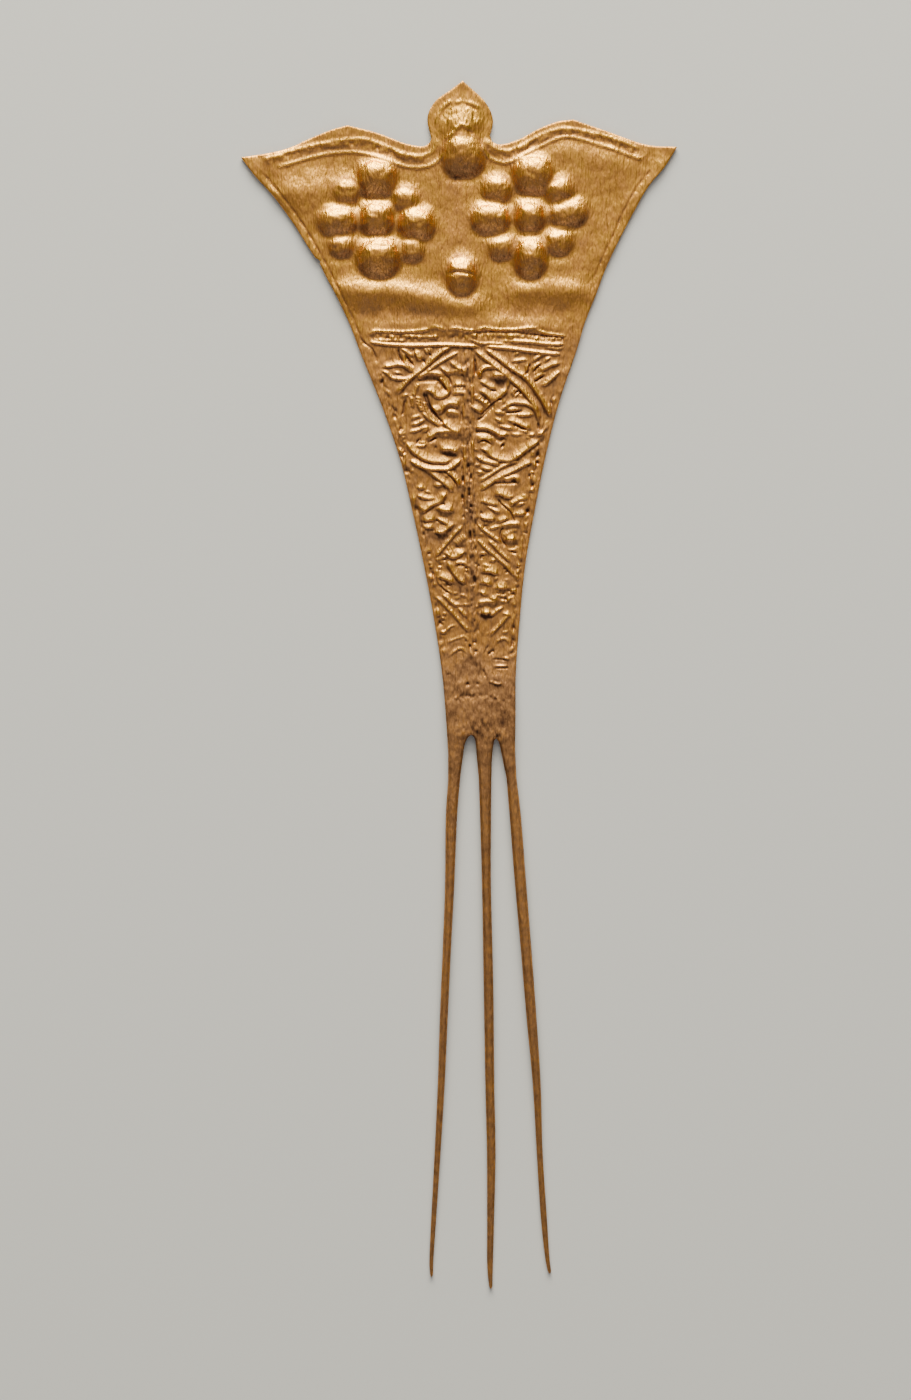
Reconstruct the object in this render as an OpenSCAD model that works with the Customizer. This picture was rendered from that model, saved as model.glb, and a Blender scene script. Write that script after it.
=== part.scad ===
// Three-pronged hairpin, hammered from one piece of gold.
// It lies on its back: +Z is the raised front, +Y points to the finial and -Y to the prong tips.
// The origin is under the middle of its outline, on the surface that it lies on.

/* [Size] */
// Length from the tip of the finial to the tip of the middle prong
overall_length = 181.2; // [160:0.2:200]
// Width across the tips of the two wings
wing_span = 65.4; // [58:0.2:74]

/* [Metal] */
// Thickness of the beaten sheet of the head
sheet_t = 0.6; // [0.5:0.05:0.8]
// Thickness of the metal at the fork, from which the prongs are drawn
fork_t = 1.3; // [1.1:0.05:1.6]

/* [Relief] */
// Height of the beaded lines and bands above the sheet
line_rise = 0.3; // [0.2:0.05:0.4]
// Height of the scrolls and leaves above the sheet
scroll_rise = 0.2; // [0.15:0.05:0.3]
// Height of a boss as a share of its smaller width
boss_share = 0.27; // [0.24:0.01:0.34]

/* [Hidden] */
$fn = 64;

gold = [0.83, 0.62, 0.25];

// The tables below are read off the object at its real size, in millimetres.
chart_length = 181.2;
chart_span = 65.4;
sx = wing_span / chart_span;
sy = overall_length / chart_length;

// A point of the tables, moved to the length and the span that are asked for
function placed(p) = [p[0] * sx, p[1] * sy];

// Points on a smooth curve through p (a Catmull-Rom spline), with n steps from one point to the next
function smooth_at(a, b, c, d, t) =
    0.5 * (2 * b + (c - a) * t + (2 * a - 5 * b + 4 * c - d) * t * t + (3 * b - a - 3 * c + d) * t * t * t);
function smooth(p, n = 3) = [
    for (i = [0 : len(p) - 2], k = [0 : n - 1])
        smooth_at(p[max(i - 1, 0)], p[i], p[i + 1], p[min(i + 2, len(p) - 1)], k / n),
    p[len(p) - 1]
];
function reversed(p) = [for (i = [len(p) - 1 : -1 : 0]) p[i]];

// Side edges of the head and stem, from the wing tips down: Y, X of the left edge, X of the right edge
SIDES = [
    [79.9, -32.7, 32.7], [77, -30.6, 30.8], [74, -28.0, 28.2], [70, -25.2, 25.8], [66, -22.8, 23.6],
    [62, -20.5, 21.6], [58, -18.5, 20.0], [54, -16.8, 18.3], [50, -15.4, 17.0], [42, -12.4, 14.1],
    [34, -9.9, 11.9], [26, -8.2, 10.1], [18, -6.7, 8.5], [10, -5.4, 7.5], [2, -4.4, 6.7],
    [-4, -4.0, 6.5], [-10, -3.75, 6.3]
];

// Upper edge of each wing from its tip to its peak, then down to the notch beside the finial
LEFT_WING = [[-32.7, 79.9], [-28, 80.5], [-22, 82.6], [-17, 84.3]];
LEFT_NOTCH = [[-17, 84.3], [-12, 83.0], [-8.4, 81.5], [-5.6, 80.8], [-4.3, 81.4], [-4.1, 82.1]];
RIGHT_NOTCH = [[4.8, 82.3], [5.2, 81.4], [6.5, 80.8], [9, 81.6], [12, 83.1], [17.4, 84.4]];
RIGHT_WING = [[17.4, 84.4], [22, 82.6], [28, 80.4], [32.7, 79.9]];

// Finial, an ogee bud: its left side up to the tip and its right side down again
BUD_LEFT = [[-4.1, 82.1], [-4.6, 84.2], [-4.4, 86], [-3.0, 88], [-0.8, 89.4], [0.8, 90.6]];
BUD_RIGHT = [[0.8, 90.6], [2.2, 89.3], [3.6, 88], [4.9, 86], [5.3, 84.2], [4.8, 82.3]];

// Slits between the prongs, each from its open end up round the crown and back
STUB_Y = -14;
LEFT_SLIT = [[-2.05, -14], [-1.6, -11], [-1.15, -8.6], [-0.3, -7.5], [0.35, -8.3], [0.5, -10.5], [0.75, -14]];
RIGHT_SLIT = [[2.65, -14], [2.8, -11], [3.1, -8.8], [3.5, -8.1], [4.0, -9.1], [4.45, -11.6], [4.9, -14]];

// Prongs below the stubs: Y, X of the left side, X of the right side, thickness as a share of the fork's
LEFT_PRONG = [
    [-13.5, -3.85, -2.1, 0.96], [-20, -4.35, -2.65, 0.95], [-30, -4.7, -3.3, 0.93], [-40, -5.3, -4.05, 0.9],
    [-50, -5.95, -4.75, 0.86], [-60, -6.5, -5.45, 0.8], [-70, -7.2, -6.3, 0.72], [-80, -7.95, -7.2, 0.6],
    [-86, -8.35, -7.75, 0.46], [-88.6, -8.25, -7.9, 0.3]
];
MIDDLE_PRONG = [
    [-13.5, 0.8, 2.6, 0.96], [-20, 0.8, 2.45, 0.95], [-30, 0.85, 2.2, 0.95], [-45, 0.75, 2.2, 0.92],
    [-60, 0.65, 2.0, 0.88], [-70, 0.65, 1.95, 0.82], [-80, 0.45, 1.5, 0.68], [-87, 0.3, 1.15, 0.5],
    [-90.6, 0.55, 0.95, 0.3]
];
RIGHT_PRONG = [
    [-13.5, 4.9, 6.4, 0.96], [-20, 5.25, 6.95, 0.95], [-30, 5.8, 7.5, 0.95], [-40, 6.45, 8.05, 0.92],
    [-50, 7.05, 8.55, 0.88], [-60, 7.75, 8.95, 0.82], [-70, 8.1, 9.0, 0.74], [-80, 8.5, 9.4, 0.6],
    [-86, 9.0, 9.65, 0.46], [-88.5, 9.45, 9.85, 0.3]
];

// Bosses: X, Y of the middle, width at the sheet. A long boss was beaten with two blows side by side.
BOSSES = [
    // Left rosette: its middle, then the petals round it from the top
    [-12.6, 70.2, 5.3], [-12.4, 76.2, 6.0], [-8.1, 73.4, 3.6], [-6.9, 69.1, 4.9], [-6.0, 69.1, 4.4],
    [-7.5, 65.4, 3.3], [-12.9, 64.1, 5.7], [-11.9, 64.1, 5.7], [-17.9, 66.2, 3.4],
    [-19.4, 69.7, 4.2], [-17.8, 69.8, 4.2], [-17.2, 74.4, 3.9],
    // Right rosette
    [10.4, 69.7, 4.8], [10.9, 76.1, 6.0], [15.3, 73.7, 3.6], [14.6, 73.2, 3.5],
    [17.1, 70.3, 3.7], [14.9, 70.1, 3.5], [14.7, 66.0, 3.9], [10.2, 63.9, 4.9], [10.2, 63.1, 5.0],
    [6.1, 65.2, 3.7], [5.3, 69.7, 4.5], [3.8, 69.7, 4.5], [5.4, 74.4, 4.1], [6.0, 73.9, 3.8],
    // Single bosses below the finial and between the rosettes
    [0.7, 78.9, 6.0], [-0.1, 61.9, 4.5], [-0.1, 60.2, 4.6]
];

// Beaded lines: width, then the points of the line
LINES = [
    // Double moulding under the edge of the left wing, and of the right one
    [0.6, [[-29, 79.5], [-24, 80.6], [-19, 81.8], [-15, 82.2], [-11, 81.1], [-8, 79.8], [-5.4, 79.3], [-3.9, 80.4]]],
    [0.6, [[-27, 78.4], [-22, 79.7], [-17.5, 80.2], [-12.5, 79.6], [-8.5, 78.2], [-6, 77.8], [-2.7, 79.1]]],
    [0.6, [[4.1, 81.5], [5.5, 80.2], [7, 79.7], [9, 80.4], [12.5, 82.2], [16, 83.2], [21, 82.2], [27, 79.4]]],
    [0.6, [[3.6, 80.2], [4.6, 78.7], [6.8, 78.0], [9, 78.8], [13, 80.8], [16.2, 81.8], [21, 80.5], [27.4, 78.0]]],
    // Cross band between the head and the scroll panel
    [0.5, [[-14, 53.2], [-9, 53.2], [-4, 53.4], [3, 53.3], [10, 53.2], [15.3, 51.8]]],
    [0.4, [[-14, 52.2], [-6, 52.3], [2, 51.9], [9, 51.3], [15, 50.8]]],
    [0.4, [[-14, 51.7], [-8, 51.2], [0, 51.0], [7, 50.3], [14.6, 49.3]]],
    // Bands that cross the panel as a chain of lozenges, each a pair of lines
    [0.5, [[-2.2, 50.4], [-5, 48.5], [-7.4, 46.7], [-10, 44.0]]],
    [0.4, [[-1.0, 49.8], [-3.5, 48.5], [-5.8, 47.0]]],
    [0.6, [[1.8, 50.1], [5, 47.4], [8, 44.9], [10, 42.4]]],
    [0.6, [[3.3, 50.1], [6, 48.2], [9.3, 45.6], [11.2, 43.0], [12.9, 40.3]]],
    [0.5, [[-8.5, 33.9], [-6.4, 32.8], [-4, 32.4], [-2.6, 32.2], [-1.3, 30.4]]],
    [0.5, [[-7.6, 33.0], [-4.8, 31.3], [-3, 30.0], [-1.5, 28.2]]],
    [0.5, [[2.0, 28.9], [4.5, 30.6], [7, 31.7], [9.7, 32.9]]],
    [0.4, [[1.9, 30.3], [4, 31.7], [6.3, 32.9], [8.3, 33.3]]],
    [0.5, [[-0.8, 23.8], [-2.5, 22.4], [-4.4, 20.3]]],
    [0.5, [[1.4, 24.2], [2.6, 22.9], [4.8, 21.4]]],
    [0.5, [[1.2, 22.0], [3.4, 20.0], [5.2, 18.0], [6.9, 16.2]]],
    [0.4, [[2.9, 21.6], [4.6, 20.0], [6.2, 18.4]]],
    [0.5, [[-5.2, 13.3], [-3.0, 11.5], [-0.2, 8.2]]],
    [0.4, [[-4.0, 13.6], [-2.2, 12.0], [-0.5, 10.2]]],
    [0.5, [[6.0, 10.7], [4.4, 9.0], [2.4, 7.2]]],
    // Midrib, a pair of lines
    [0.35, [[0.1, 49.5], [-0.1, 36], [0.2, 22], [0.3, 8.5]]],
    [0.35, [[1.1, 49.5], [0.8, 36], [0.9, 22], [0.9, 8.5]]]
];

// Scroll stems and curls of the panel, in the same form as the lines
SCROLLS = [
    [0.9, [[-6.6, 44.6], [-5.3, 46.2], [-3.4, 45.9], [-2.6, 44.6], [-3.8, 43.6], [-5.4, 44.4]]],
    [0.8, [[-6.0, 43.4], [-4.8, 41.3], [-3.0, 39.2], [-0.9, 38.0]]],
    [0.8, [[-3.9, 41.0], [-2.2, 42.3], [-0.7, 41.5]]],
    [0.9, [[-8.4, 36.4], [-6.6, 34.5], [-4.4, 33.9], [-1.6, 34.6], [-1.2, 36.0], [-2.6, 36.3], [-3.6, 35.6]]],
    [0.7, [[-6.6, 37.3], [-4.4, 38.2], [-2.0, 38.0]]],
    [0.9, [[2.4, 46.8], [3.8, 47.5], [5.9, 46.3], [6.2, 44.6], [4.9, 43.0], [3.0, 43.6]]],
    [0.8, [[1.6, 38.7], [3.4, 38.9], [5.3, 37.6]]],
    [0.9, [[2.2, 36.6], [3.4, 35.2], [5.8, 34.1], [8.2, 35.0], [10.6, 36.8], [11.6, 38.6], [10.8, 41.4], [8.4, 42.3]]],
    [0.8, [[5.2, 40.8], [7.4, 42.0], [9.6, 41.8]]],
    [0.8, [[4.2, 29.0], [6.2, 30.7], [7.4, 29.9], [6.6, 28.4]]],
    [0.8, [[-6.2, 30.6], [-3.9, 30.2], [-2.2, 28.4], [-2.0, 26.0], [-3.4, 24.0], [-5.4, 23.4]]],
    [0.8, [[2.0, 28.0], [1.6, 26.0], [2.6, 24.9], [5.4, 24.9], [7.0, 26.4], [5.6, 28.2]]],
    [0.9, [[5.4, 21.4], [5.6, 22.6], [7.2, 22.6], [7.5, 21.4]]],
    [0.8, [[-3.6, 19.8], [-2.4, 19.4], [-0.9, 20.6], [-1.8, 21.6]]],
    [0.8, [[-4.8, 16.6], [-3.6, 15.0], [-2.2, 14.2]]],
    [0.8, [[-3.1, 18.2], [-2.0, 16.8], [-0.9, 15.6]]],
    [0.8, [[1.7, 11.4], [3.2, 10.8], [4.8, 12.0], [6.4, 13.6]]],
    [0.7, [[2.0, 17.0], [3.4, 17.2], [4.6, 16.6]]],
    [0.7, [[1.8, 15.3], [3.2, 15.4], [4.6, 16.4]]]
];

// Finial: nested ogee arches that frame the upper boss
ARCHES = [
    [0.7, [[-3.2, 83.6], [-2.7, 85.8], [-1.2, 87.4], [0.7, 87.9], [2.6, 87.2], [3.5, 85.6], [3.5, 83.8]]],
    [0.6, [[-1.6, 82.5], [-0.6, 83.6], [0.6, 84.1], [1.8, 83.6], [2.7, 82.5]]]
];

// The outline as one loop, from the left stub up to the finial and down the right side
function side(column) = [for (row = SIDES) [row[column], row[0]]];
function outline() = concat(
    [[-3.9, STUB_Y]],
    reversed(smooth(side(1))),
    smooth(LEFT_WING),
    smooth(LEFT_NOTCH),
    smooth(BUD_LEFT),
    smooth(BUD_RIGHT),
    smooth(RIGHT_NOTCH),
    smooth(RIGHT_WING),
    smooth(side(2)),
    [[6.45, STUB_Y]],
    reversed(smooth(RIGHT_SLIT)),
    reversed(smooth(LEFT_SLIT))
);
// The same loop without the points that repeat where two curves meet
function distinct(p) = [for (i = [0 : len(p) - 1]) if (norm(p[i] - p[(i + 1) % len(p)]) > 0.01) p[i]];

// A line's two sides at half its width, tapered to a fifth at both ends over its first and last steps
line_end = 0.2;
line_steps = 3;
function across(p, i) =
    let (d = p[min(i + 1, len(p) - 1)] - p[max(i - 1, 0)])
    [-d[1], d[0]] / norm(d);
function taper(i, last) = min(1, line_end + (1 - line_end) * min(i, last - i) / line_steps);
function rail(p, w, dir) = [for (i = [0 : len(p) - 1]) p[i] + dir * w / 2 * taper(i, len(p) - 1) * across(p, i)];

module raised_line(row, rise) {
    path = [for (p = smooth(row[1])) placed(p)];
    translate([0, 0, sheet_t / 2])
        linear_extrude(sheet_t / 2 + rise)
            polygon(concat(rail(path, row[0], 1), reversed(rail(path, row[0], -1))));
}

// The flat blank, beaten thin over the head and left thick towards the fork
module blank() {
    end_y = (STUB_Y - 1) * sy;
    thick_y = -7 * sy;
    thin_y = 5 * sy;
    intersection() {
        linear_extrude(fork_t)
            polygon([for (p = distinct(outline())) placed(p)]);
        rotate([90, 0, 90])
            linear_extrude(wing_span + 2, center = true)
                polygon([
                    [end_y, 0], [overall_length, 0], [overall_length, sheet_t],
                    [thin_y, sheet_t], [thick_y, fork_t], [end_y, fork_t]
                ]);
    }
}

// A boss is a cap of a ball, beaten out from behind, so it is hollow at the back
boss_wall = 0.5;
function boss_rise(row) = boss_share * row[2];
function ball_radius(half, rise) = (half * half + rise * rise) / (2 * rise);

module boss_ball(row, shrink) {
    ball = ball_radius(row[2] / 2, boss_rise(row));
    translate([row[0] * sx, row[1] * sy, sheet_t + boss_rise(row) - ball])
        sphere(ball - shrink);
}

// The part of each ball that stands above the middle of the sheet
module boss_caps() {
    intersection() {
        union() {
            for (row = BOSSES) boss_ball(row, 0);
        }
        translate([-wing_span / 2, 0, sheet_t / 2])
            cube([wing_span, overall_length / 2, wing_span]);
    }
}

module boss_hollows() {
    for (row = BOSSES) boss_ball(row, boss_wall);
}

// A prong is drawn out from its stub: an eight-sided bar, flat underneath, that tapers to a blunt point
prong_sides = 8;
half_side = 180 / prong_sides;
function prong_ring(row) =
    let (
        x = (row[1] + row[2]) / 2 * sx,
        w = (row[2] - row[1]) * sx,
        t = row[3] * fork_t
    )
    [for (k = [0 : prong_sides - 1])
        let (a = (2 * k + 1) * half_side)
        [
            x + w / 2 * cos(a) / cos(half_side),
            row[0] * sy,
            t / 2 * (1 + sin(a) / cos(half_side))
        ]];

module prong(rows) {
    fine = smooth(rows, 2);
    n = prong_sides;
    last = len(fine) - 1;
    polyhedron(
        points = [for (row = fine) each prong_ring(row)],
        faces = concat(
            [[for (k = [0 : n - 1]) k]],
            [for (i = [0 : last - 1], k = [0 : n - 1])
                each [
                    [i * n + k, (i + 1) * n + (k + 1) % n, i * n + (k + 1) % n],
                    [i * n + k, (i + 1) * n + k, (i + 1) * n + (k + 1) % n]
                ]],
            [[for (k = [n - 1 : -1 : 0]) last * n + k]]
        )
    );
}

// The blank with its bosses beaten out, each open at the back
module embossed_sheet() {
    difference() {
        union() {
            blank();
            boss_caps();
        }
        boss_hollows();
    }
}

module hairpin() {
    color(gold) {
        embossed_sheet();
        for (row = LINES) raised_line(row, line_rise);
        for (row = ARCHES) raised_line(row, line_rise);
        for (row = SCROLLS) raised_line(row, scroll_rise);
        prong(LEFT_PRONG);
        prong(MIDDLE_PRONG);
        prong(RIGHT_PRONG);
    }
}

hairpin();
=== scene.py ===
import math

import bpy
import numpy as np
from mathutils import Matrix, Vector
from mathutils.geometry import delaunay_2d_cdt


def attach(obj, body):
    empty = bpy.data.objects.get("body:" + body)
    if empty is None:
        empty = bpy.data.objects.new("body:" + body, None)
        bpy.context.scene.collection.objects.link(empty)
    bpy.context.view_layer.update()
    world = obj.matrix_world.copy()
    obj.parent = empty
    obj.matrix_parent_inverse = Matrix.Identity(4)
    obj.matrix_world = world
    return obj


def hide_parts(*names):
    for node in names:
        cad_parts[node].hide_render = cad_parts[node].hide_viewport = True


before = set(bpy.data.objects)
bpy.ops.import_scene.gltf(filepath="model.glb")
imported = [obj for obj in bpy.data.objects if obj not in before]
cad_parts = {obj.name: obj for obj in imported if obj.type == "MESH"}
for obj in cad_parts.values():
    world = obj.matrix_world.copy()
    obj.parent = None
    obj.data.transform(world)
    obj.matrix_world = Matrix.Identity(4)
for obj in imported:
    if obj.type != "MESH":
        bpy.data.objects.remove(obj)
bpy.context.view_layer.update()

# The outline of the blank.
# The hairpin is one piece of gold: a fan-shaped head with pointed wings and a bud for a finial, a
# waist, and a fork slit into three prongs. It was cut with a chisel, so its edges waver a little.

# All sizes here are in millimetres until the mesh takes them in metres. X runs to the right wing and
# Y towards the finial.
MM = 0.001

LEFT_EDGE = [
    (-3.75, -10), (-4.0, -4), (-4.4, 2), (-5.4, 10), (-6.7, 18), (-8.2, 26), (-9.9, 34), (-12.4, 42),
    (-15.4, 50), (-16.8, 54), (-18.5, 58), (-20.5, 62), (-21.25, 63.7),
]
LEFT_NICK = [(-21.25, 63.7), (-21.2, 64.1), (-21.9, 64.6)]
LEFT_SHOULDER = [(-21.9, 64.6), (-22.8, 66), (-25.2, 70), (-28.0, 74), (-30.6, 77), (-32.7, 79.9)]
LEFT_WING = [(-32.7, 79.9), (-28, 80.5), (-25, 81.3), (-22, 82.6), (-19, 83.7), (-16.6, 84.3)]
LEFT_NOTCH = [(-16.6, 84.3), (-12, 83.0), (-8.4, 81.5), (-5.6, 80.9), (-4.5, 81.3), (-4.1, 82.1)]
BUD_LEFT = [(-4.1, 82.1), (-4.6, 84.4), (-4.4, 86), (-3.2, 87.8), (-1.0, 89.3), (0.8, 90.6)]
BUD_RIGHT = [(0.8, 90.6), (2.2, 89.3), (3.9, 87.6), (4.9, 85.9), (5.2, 84.2), (4.7, 82.3)]
RIGHT_NOTCH = [(4.7, 82.3), (5.1, 81.3), (6.4, 80.9), (9, 81.6), (12, 83.1), (14.8, 84.1), (17.2, 84.4)]
RIGHT_WING = [(17.2, 84.4), (22, 82.6), (28, 80.4), (32.7, 79.9)]
RIGHT_EDGE = [
    (32.7, 79.9), (30.8, 77), (28.2, 74), (25.8, 70), (23.6, 66), (21.6, 62), (20.0, 58), (18.3, 54),
    (17.0, 50), (14.1, 42), (11.9, 34), (10.1, 26), (8.5, 18), (7.5, 10), (6.7, 2), (6.5, -4), (6.3, -10),
]

# The prongs: Y, X of the left side, X of the right side, from the fork down to the blunt points
LEFT_PRONG = [
    (-14, -3.85, -2.05), (-20, -4.35, -2.65), (-30, -4.7, -3.3), (-40, -5.3, -4.05), (-50, -5.95, -4.75),
    (-60, -6.5, -5.45), (-70, -7.2, -6.3), (-80, -7.95, -7.2), (-86, -8.35, -7.75), (-88.2, -8.3, -7.85),
]
MIDDLE_PRONG = [
    (-14, 0.75, 2.65), (-20, 0.8, 2.45), (-30, 0.85, 2.2), (-45, 0.75, 2.2), (-60, 0.65, 2.0),
    (-70, 0.65, 1.95), (-80, 0.45, 1.5), (-87, 0.3, 1.15), (-90.2, 0.5, 1.0),
]
RIGHT_PRONG = [
    (-14, 4.9, 6.4), (-20, 5.25, 6.95), (-30, 5.8, 7.5), (-40, 6.45, 8.05), (-50, 7.05, 8.55),
    (-60, 7.75, 8.95), (-70, 8.1, 9.0), (-80, 8.5, 9.4), (-86, 9.0, 9.65), (-88.1, 9.35, 9.85),
]
LEFT_CROWN = [
    (-2.05, -14), (-1.6, -11), (-1.15, -8.6), (-0.3, -7.5), (0.35, -8.3), (0.5, -10.5), (0.75, -14),
]
RIGHT_CROWN = [(2.65, -14), (2.8, -11), (3.1, -8.8), (3.5, -8.1), (4.0, -9.1), (4.45, -11.6), (4.9, -14)]

SPAN_CUTS = 16


def curve(points, step):
    """A Catmull-Rom curve through the points, cut into equal steps along its own length."""
    p = np.asarray(points, float)
    q = np.concatenate([2 * p[:1] - p[1:2], p, 2 * p[-1:] - p[-2:-1]])
    t = np.linspace(0, 1, SPAN_CUTS, endpoint=False)[None, :, None]
    a, b, c, d = (q[k : k + len(p) - 1][:, None, :] for k in range(4))
    fine = 2 * b + (c - a) * t + (2 * a - 5 * b + 4 * c - d) * t**2 + (3 * b - a - 3 * c + d) * t**3
    fine = np.concatenate([fine.reshape(-1, p.shape[1]) / 2, p[-1:]])
    length = np.concatenate([[0], np.cumsum(np.linalg.norm(np.diff(fine, axis=0), axis=1))])
    at = np.linspace(0, length[-1], max(2, round(length[-1] / step) + 1))
    return np.stack([np.interp(at, length, column) for column in fine.T], 1)


def prong_side(rows, column):
    """One long side of a prong as X, Y points, from the fork down to the point."""
    return [(row[column], row[0]) for row in rows]


EDGE_STEP = 0.24
PRONG_STEP = 0.42
HEAD = [
    LEFT_EDGE, LEFT_NICK, LEFT_SHOULDER, LEFT_WING, LEFT_NOTCH,
    BUD_LEFT, BUD_RIGHT, RIGHT_NOTCH, RIGHT_WING, RIGHT_EDGE,
]

# Once round, clockwise from the left prong's point. The short curves close the prongs' points
outline = np.concatenate([run[:-1] for run in (
    curve(prong_side(LEFT_PRONG, 1), PRONG_STEP)[::-1],
    curve([(-3.85, -14)] + LEFT_EDGE[:1], EDGE_STEP),
    *(curve(side, EDGE_STEP) for side in HEAD),
    curve(RIGHT_EDGE[-1:] + [(6.4, -14)], EDGE_STEP),
    curve(prong_side(RIGHT_PRONG, 2), PRONG_STEP),
    curve([(9.85, -88.1), (9.65, -88.5), (9.35, -88.1)], EDGE_STEP / 2),
    curve(prong_side(RIGHT_PRONG, 1), PRONG_STEP)[::-1],
    curve(RIGHT_CROWN, EDGE_STEP)[::-1],
    curve(prong_side(MIDDLE_PRONG, 2), PRONG_STEP),
    curve([(1.0, -90.2), (0.75, -90.6), (0.5, -90.2)], EDGE_STEP / 2),
    curve(prong_side(MIDDLE_PRONG, 1), PRONG_STEP)[::-1],
    curve(LEFT_CROWN, EDGE_STEP)[::-1],
    curve(prong_side(LEFT_PRONG, 2), PRONG_STEP),
    curve([(-7.85, -88.2), (-8.1, -88.6), (-8.3, -88.2)], EDGE_STEP / 2),
)])

# The sheet: its thickness and the slow waves left by the hammer.
# The head is beaten to 0.6 mm, the fork is left at 1.3 mm and the prongs are drawn out to 0.4 mm. All
# of the relief is worked out on one fine grid over the hairpin, before the mesh takes its points.

PITCH = 0.1
x_line = np.arange(-34, 34 + PITCH / 2, PITCH)
y_line = np.arange(-92, 92 + PITCH / 2, PITCH)
grid_x, grid_y = np.meshgrid(x_line, y_line)

SHEET_T = 0.6
FORK_T = 1.3
TIP_T = 0.4
FORK_TOP, FORK_FULL = 8, -8
TAPER_TOP, TAPER_END = -35, -92
TAPER_POWER = 1.3


def ease(low, high, value):
    """Smooth step: 0 below low, 1 above high, with level ends."""
    t = np.clip((value - low) / (high - low), 0, 1)
    return t * t * (3 - 2 * t)


def blurred(field, radius, stretch=1.0):
    """The field spread by a bell of the given radius in millimetres, by Fourier transform. A stretch
    above 1 draws the bell out along Y."""
    rows, columns = (np.fft.fftfreq(n, PITCH) for n in field.shape)
    bell = np.exp(-2 * (np.pi * radius) ** 2 * ((stretch * rows[:, None]) ** 2 + columns[None, :] ** 2))
    return np.real(np.fft.ifft2(np.fft.fft2(field) * bell))


def hammering(seed, radius, stretch=1.0):
    """Random dents of one size: blurred noise brought to a spread of 1."""
    field = blurred(np.random.default_rng(seed).normal(size=grid_x.shape), radius, stretch)
    return field / field.std()


thickness = SHEET_T + (FORK_T - SHEET_T) * ease(FORK_TOP, FORK_FULL, grid_y)
thickness = thickness - (FORK_T - TIP_T) * ease(TAPER_TOP, TAPER_END, grid_y) ** TAPER_POWER

# Broad swells of the head: height, width above, width below, and the line of the crest
SWELLS = [
    (0.30, 4.5, 4.5, [(-29, 73.5), (-26, 74.6), (-22, 74.6), (-18, 76.2)]),
    (0.38, 2.6, 3.2, [(-20, 60.2), (-15, 59.4), (-10, 59.2), (-5, 58.2), (0, 57.0), (4, 57.6)]),
    (0.38, 2.4, 3.2, [(6, 58.4), (10, 59.0), (14, 59.2), (18, 58.6), (20, 57.6)]),
    (0.12, 2.0, 3.0, [(12, 62.8), (15, 62.6), (18, 63.2)]),
    (0.14, 1.6, 3.5, [(12, 79.8), (16, 79.9), (22, 78.6), (27, 76.6)]),
    (0.16, 1.5, 2.2, [(-15, 54.3), (-8, 54.2), (0, 54.0), (8, 53.9), (16, 53.0)]),
    (0.54, 4.5, 8.0, [(-3.4, 83.6), (0.6, 84.1), (4.0, 83.6)]),
]


def nearest_on(path, x, y):
    """Distance from each place to a path of points, the place's bearing in Y, how far along the path
    it lies, and the path's length."""
    start, step = path[:-1], np.diff(path, axis=0)
    run = np.hypot(step[:, 0], step[:, 1])
    dx, dy = x[..., None] - start[:, 0], y[..., None] - start[:, 1]
    t = np.clip((dx * step[:, 0] + dy * step[:, 1]) / run**2, 0, 1)
    off_x, off_y = dx - t * step[:, 0], dy - t * step[:, 1]
    distance = np.hypot(off_x, off_y)
    near = distance.argmin(-1)[..., None]
    gone = np.concatenate([[0], np.cumsum(run)])[:-1]
    distance, off_y, along = (
        np.take_along_axis(values, near, -1)[..., 0] for values in (distance, off_y, gone + t * run)
    )
    return distance, off_y / np.maximum(distance, 1e-6), along, run.sum()


def window(path, reach):
    """The rows and columns of the grid that lie within reach of a path."""
    low, high = path.min(0) - reach, path.max(0) + reach
    columns = slice(np.searchsorted(x_line, low[0]), np.searchsorted(x_line, high[0]))
    rows = slice(np.searchsorted(y_line, low[1]), np.searchsorted(y_line, high[1]))
    return rows, columns


BLUNT = 0.1
NARROWED = 0.4
HOLLOWED = 0.6


def ridge(rise, above, below, points, ends=(0.6, 0.6), step=0.3):
    """A raised line: full height on the line, falling to nothing at the width `above` on the finial's side
    of it and at the width `below` on the other, straight where narrow and hollowed where wide. The height
    is the share of the width that is left, to the power 1 to 1.6. Over the length `ends` it falls nearly
    to nothing at both ends, and its width to two fifths."""
    path = curve(points, step)
    at = window(path, max(above, below))
    distance, bearing, along, length = nearest_on(path, grid_x[at], grid_y[at])
    from_start = (along + BLUNT) / (ends[0] + BLUNT)
    from_finish = (length - along + BLUNT) / (ends[1] + BLUNT)
    end = np.minimum(1, np.minimum(from_start, from_finish))
    width = ((above + below) + (above - below) * bearing) / 2 * (NARROWED + (1 - NARROWED) * end)
    return at, rise * end * np.clip(1 - distance / width, 0, 1) ** (1 + HOLLOWED * ease(0.3, 0.8, width))


# The swells are laid on sharp and too high, and a wide blur brings them down to size
SWELL_PEAK = 2.1
SWELL_BLUR = 0.7

swell = np.zeros_like(grid_x)
for rise, above, below, points in SWELLS:
    at, height = ridge(SWELL_PEAK * rise, above, below, points, ends=(3, 3), step=1.0)
    swell[at] = np.maximum(swell[at], height)
swell = blurred(swell, SWELL_BLUR)

HEAD_FOOT, HEAD_FULL = 44, 58
BROAD_DENTS, SMALL_DENTS = 0.075, 0.026
dents = BROAD_DENTS * hammering(3, 2.2) + SMALL_DENTS * hammering(4, 0.9)
swell += dents * ease(HEAD_FOOT, HEAD_FULL, grid_y)

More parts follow.
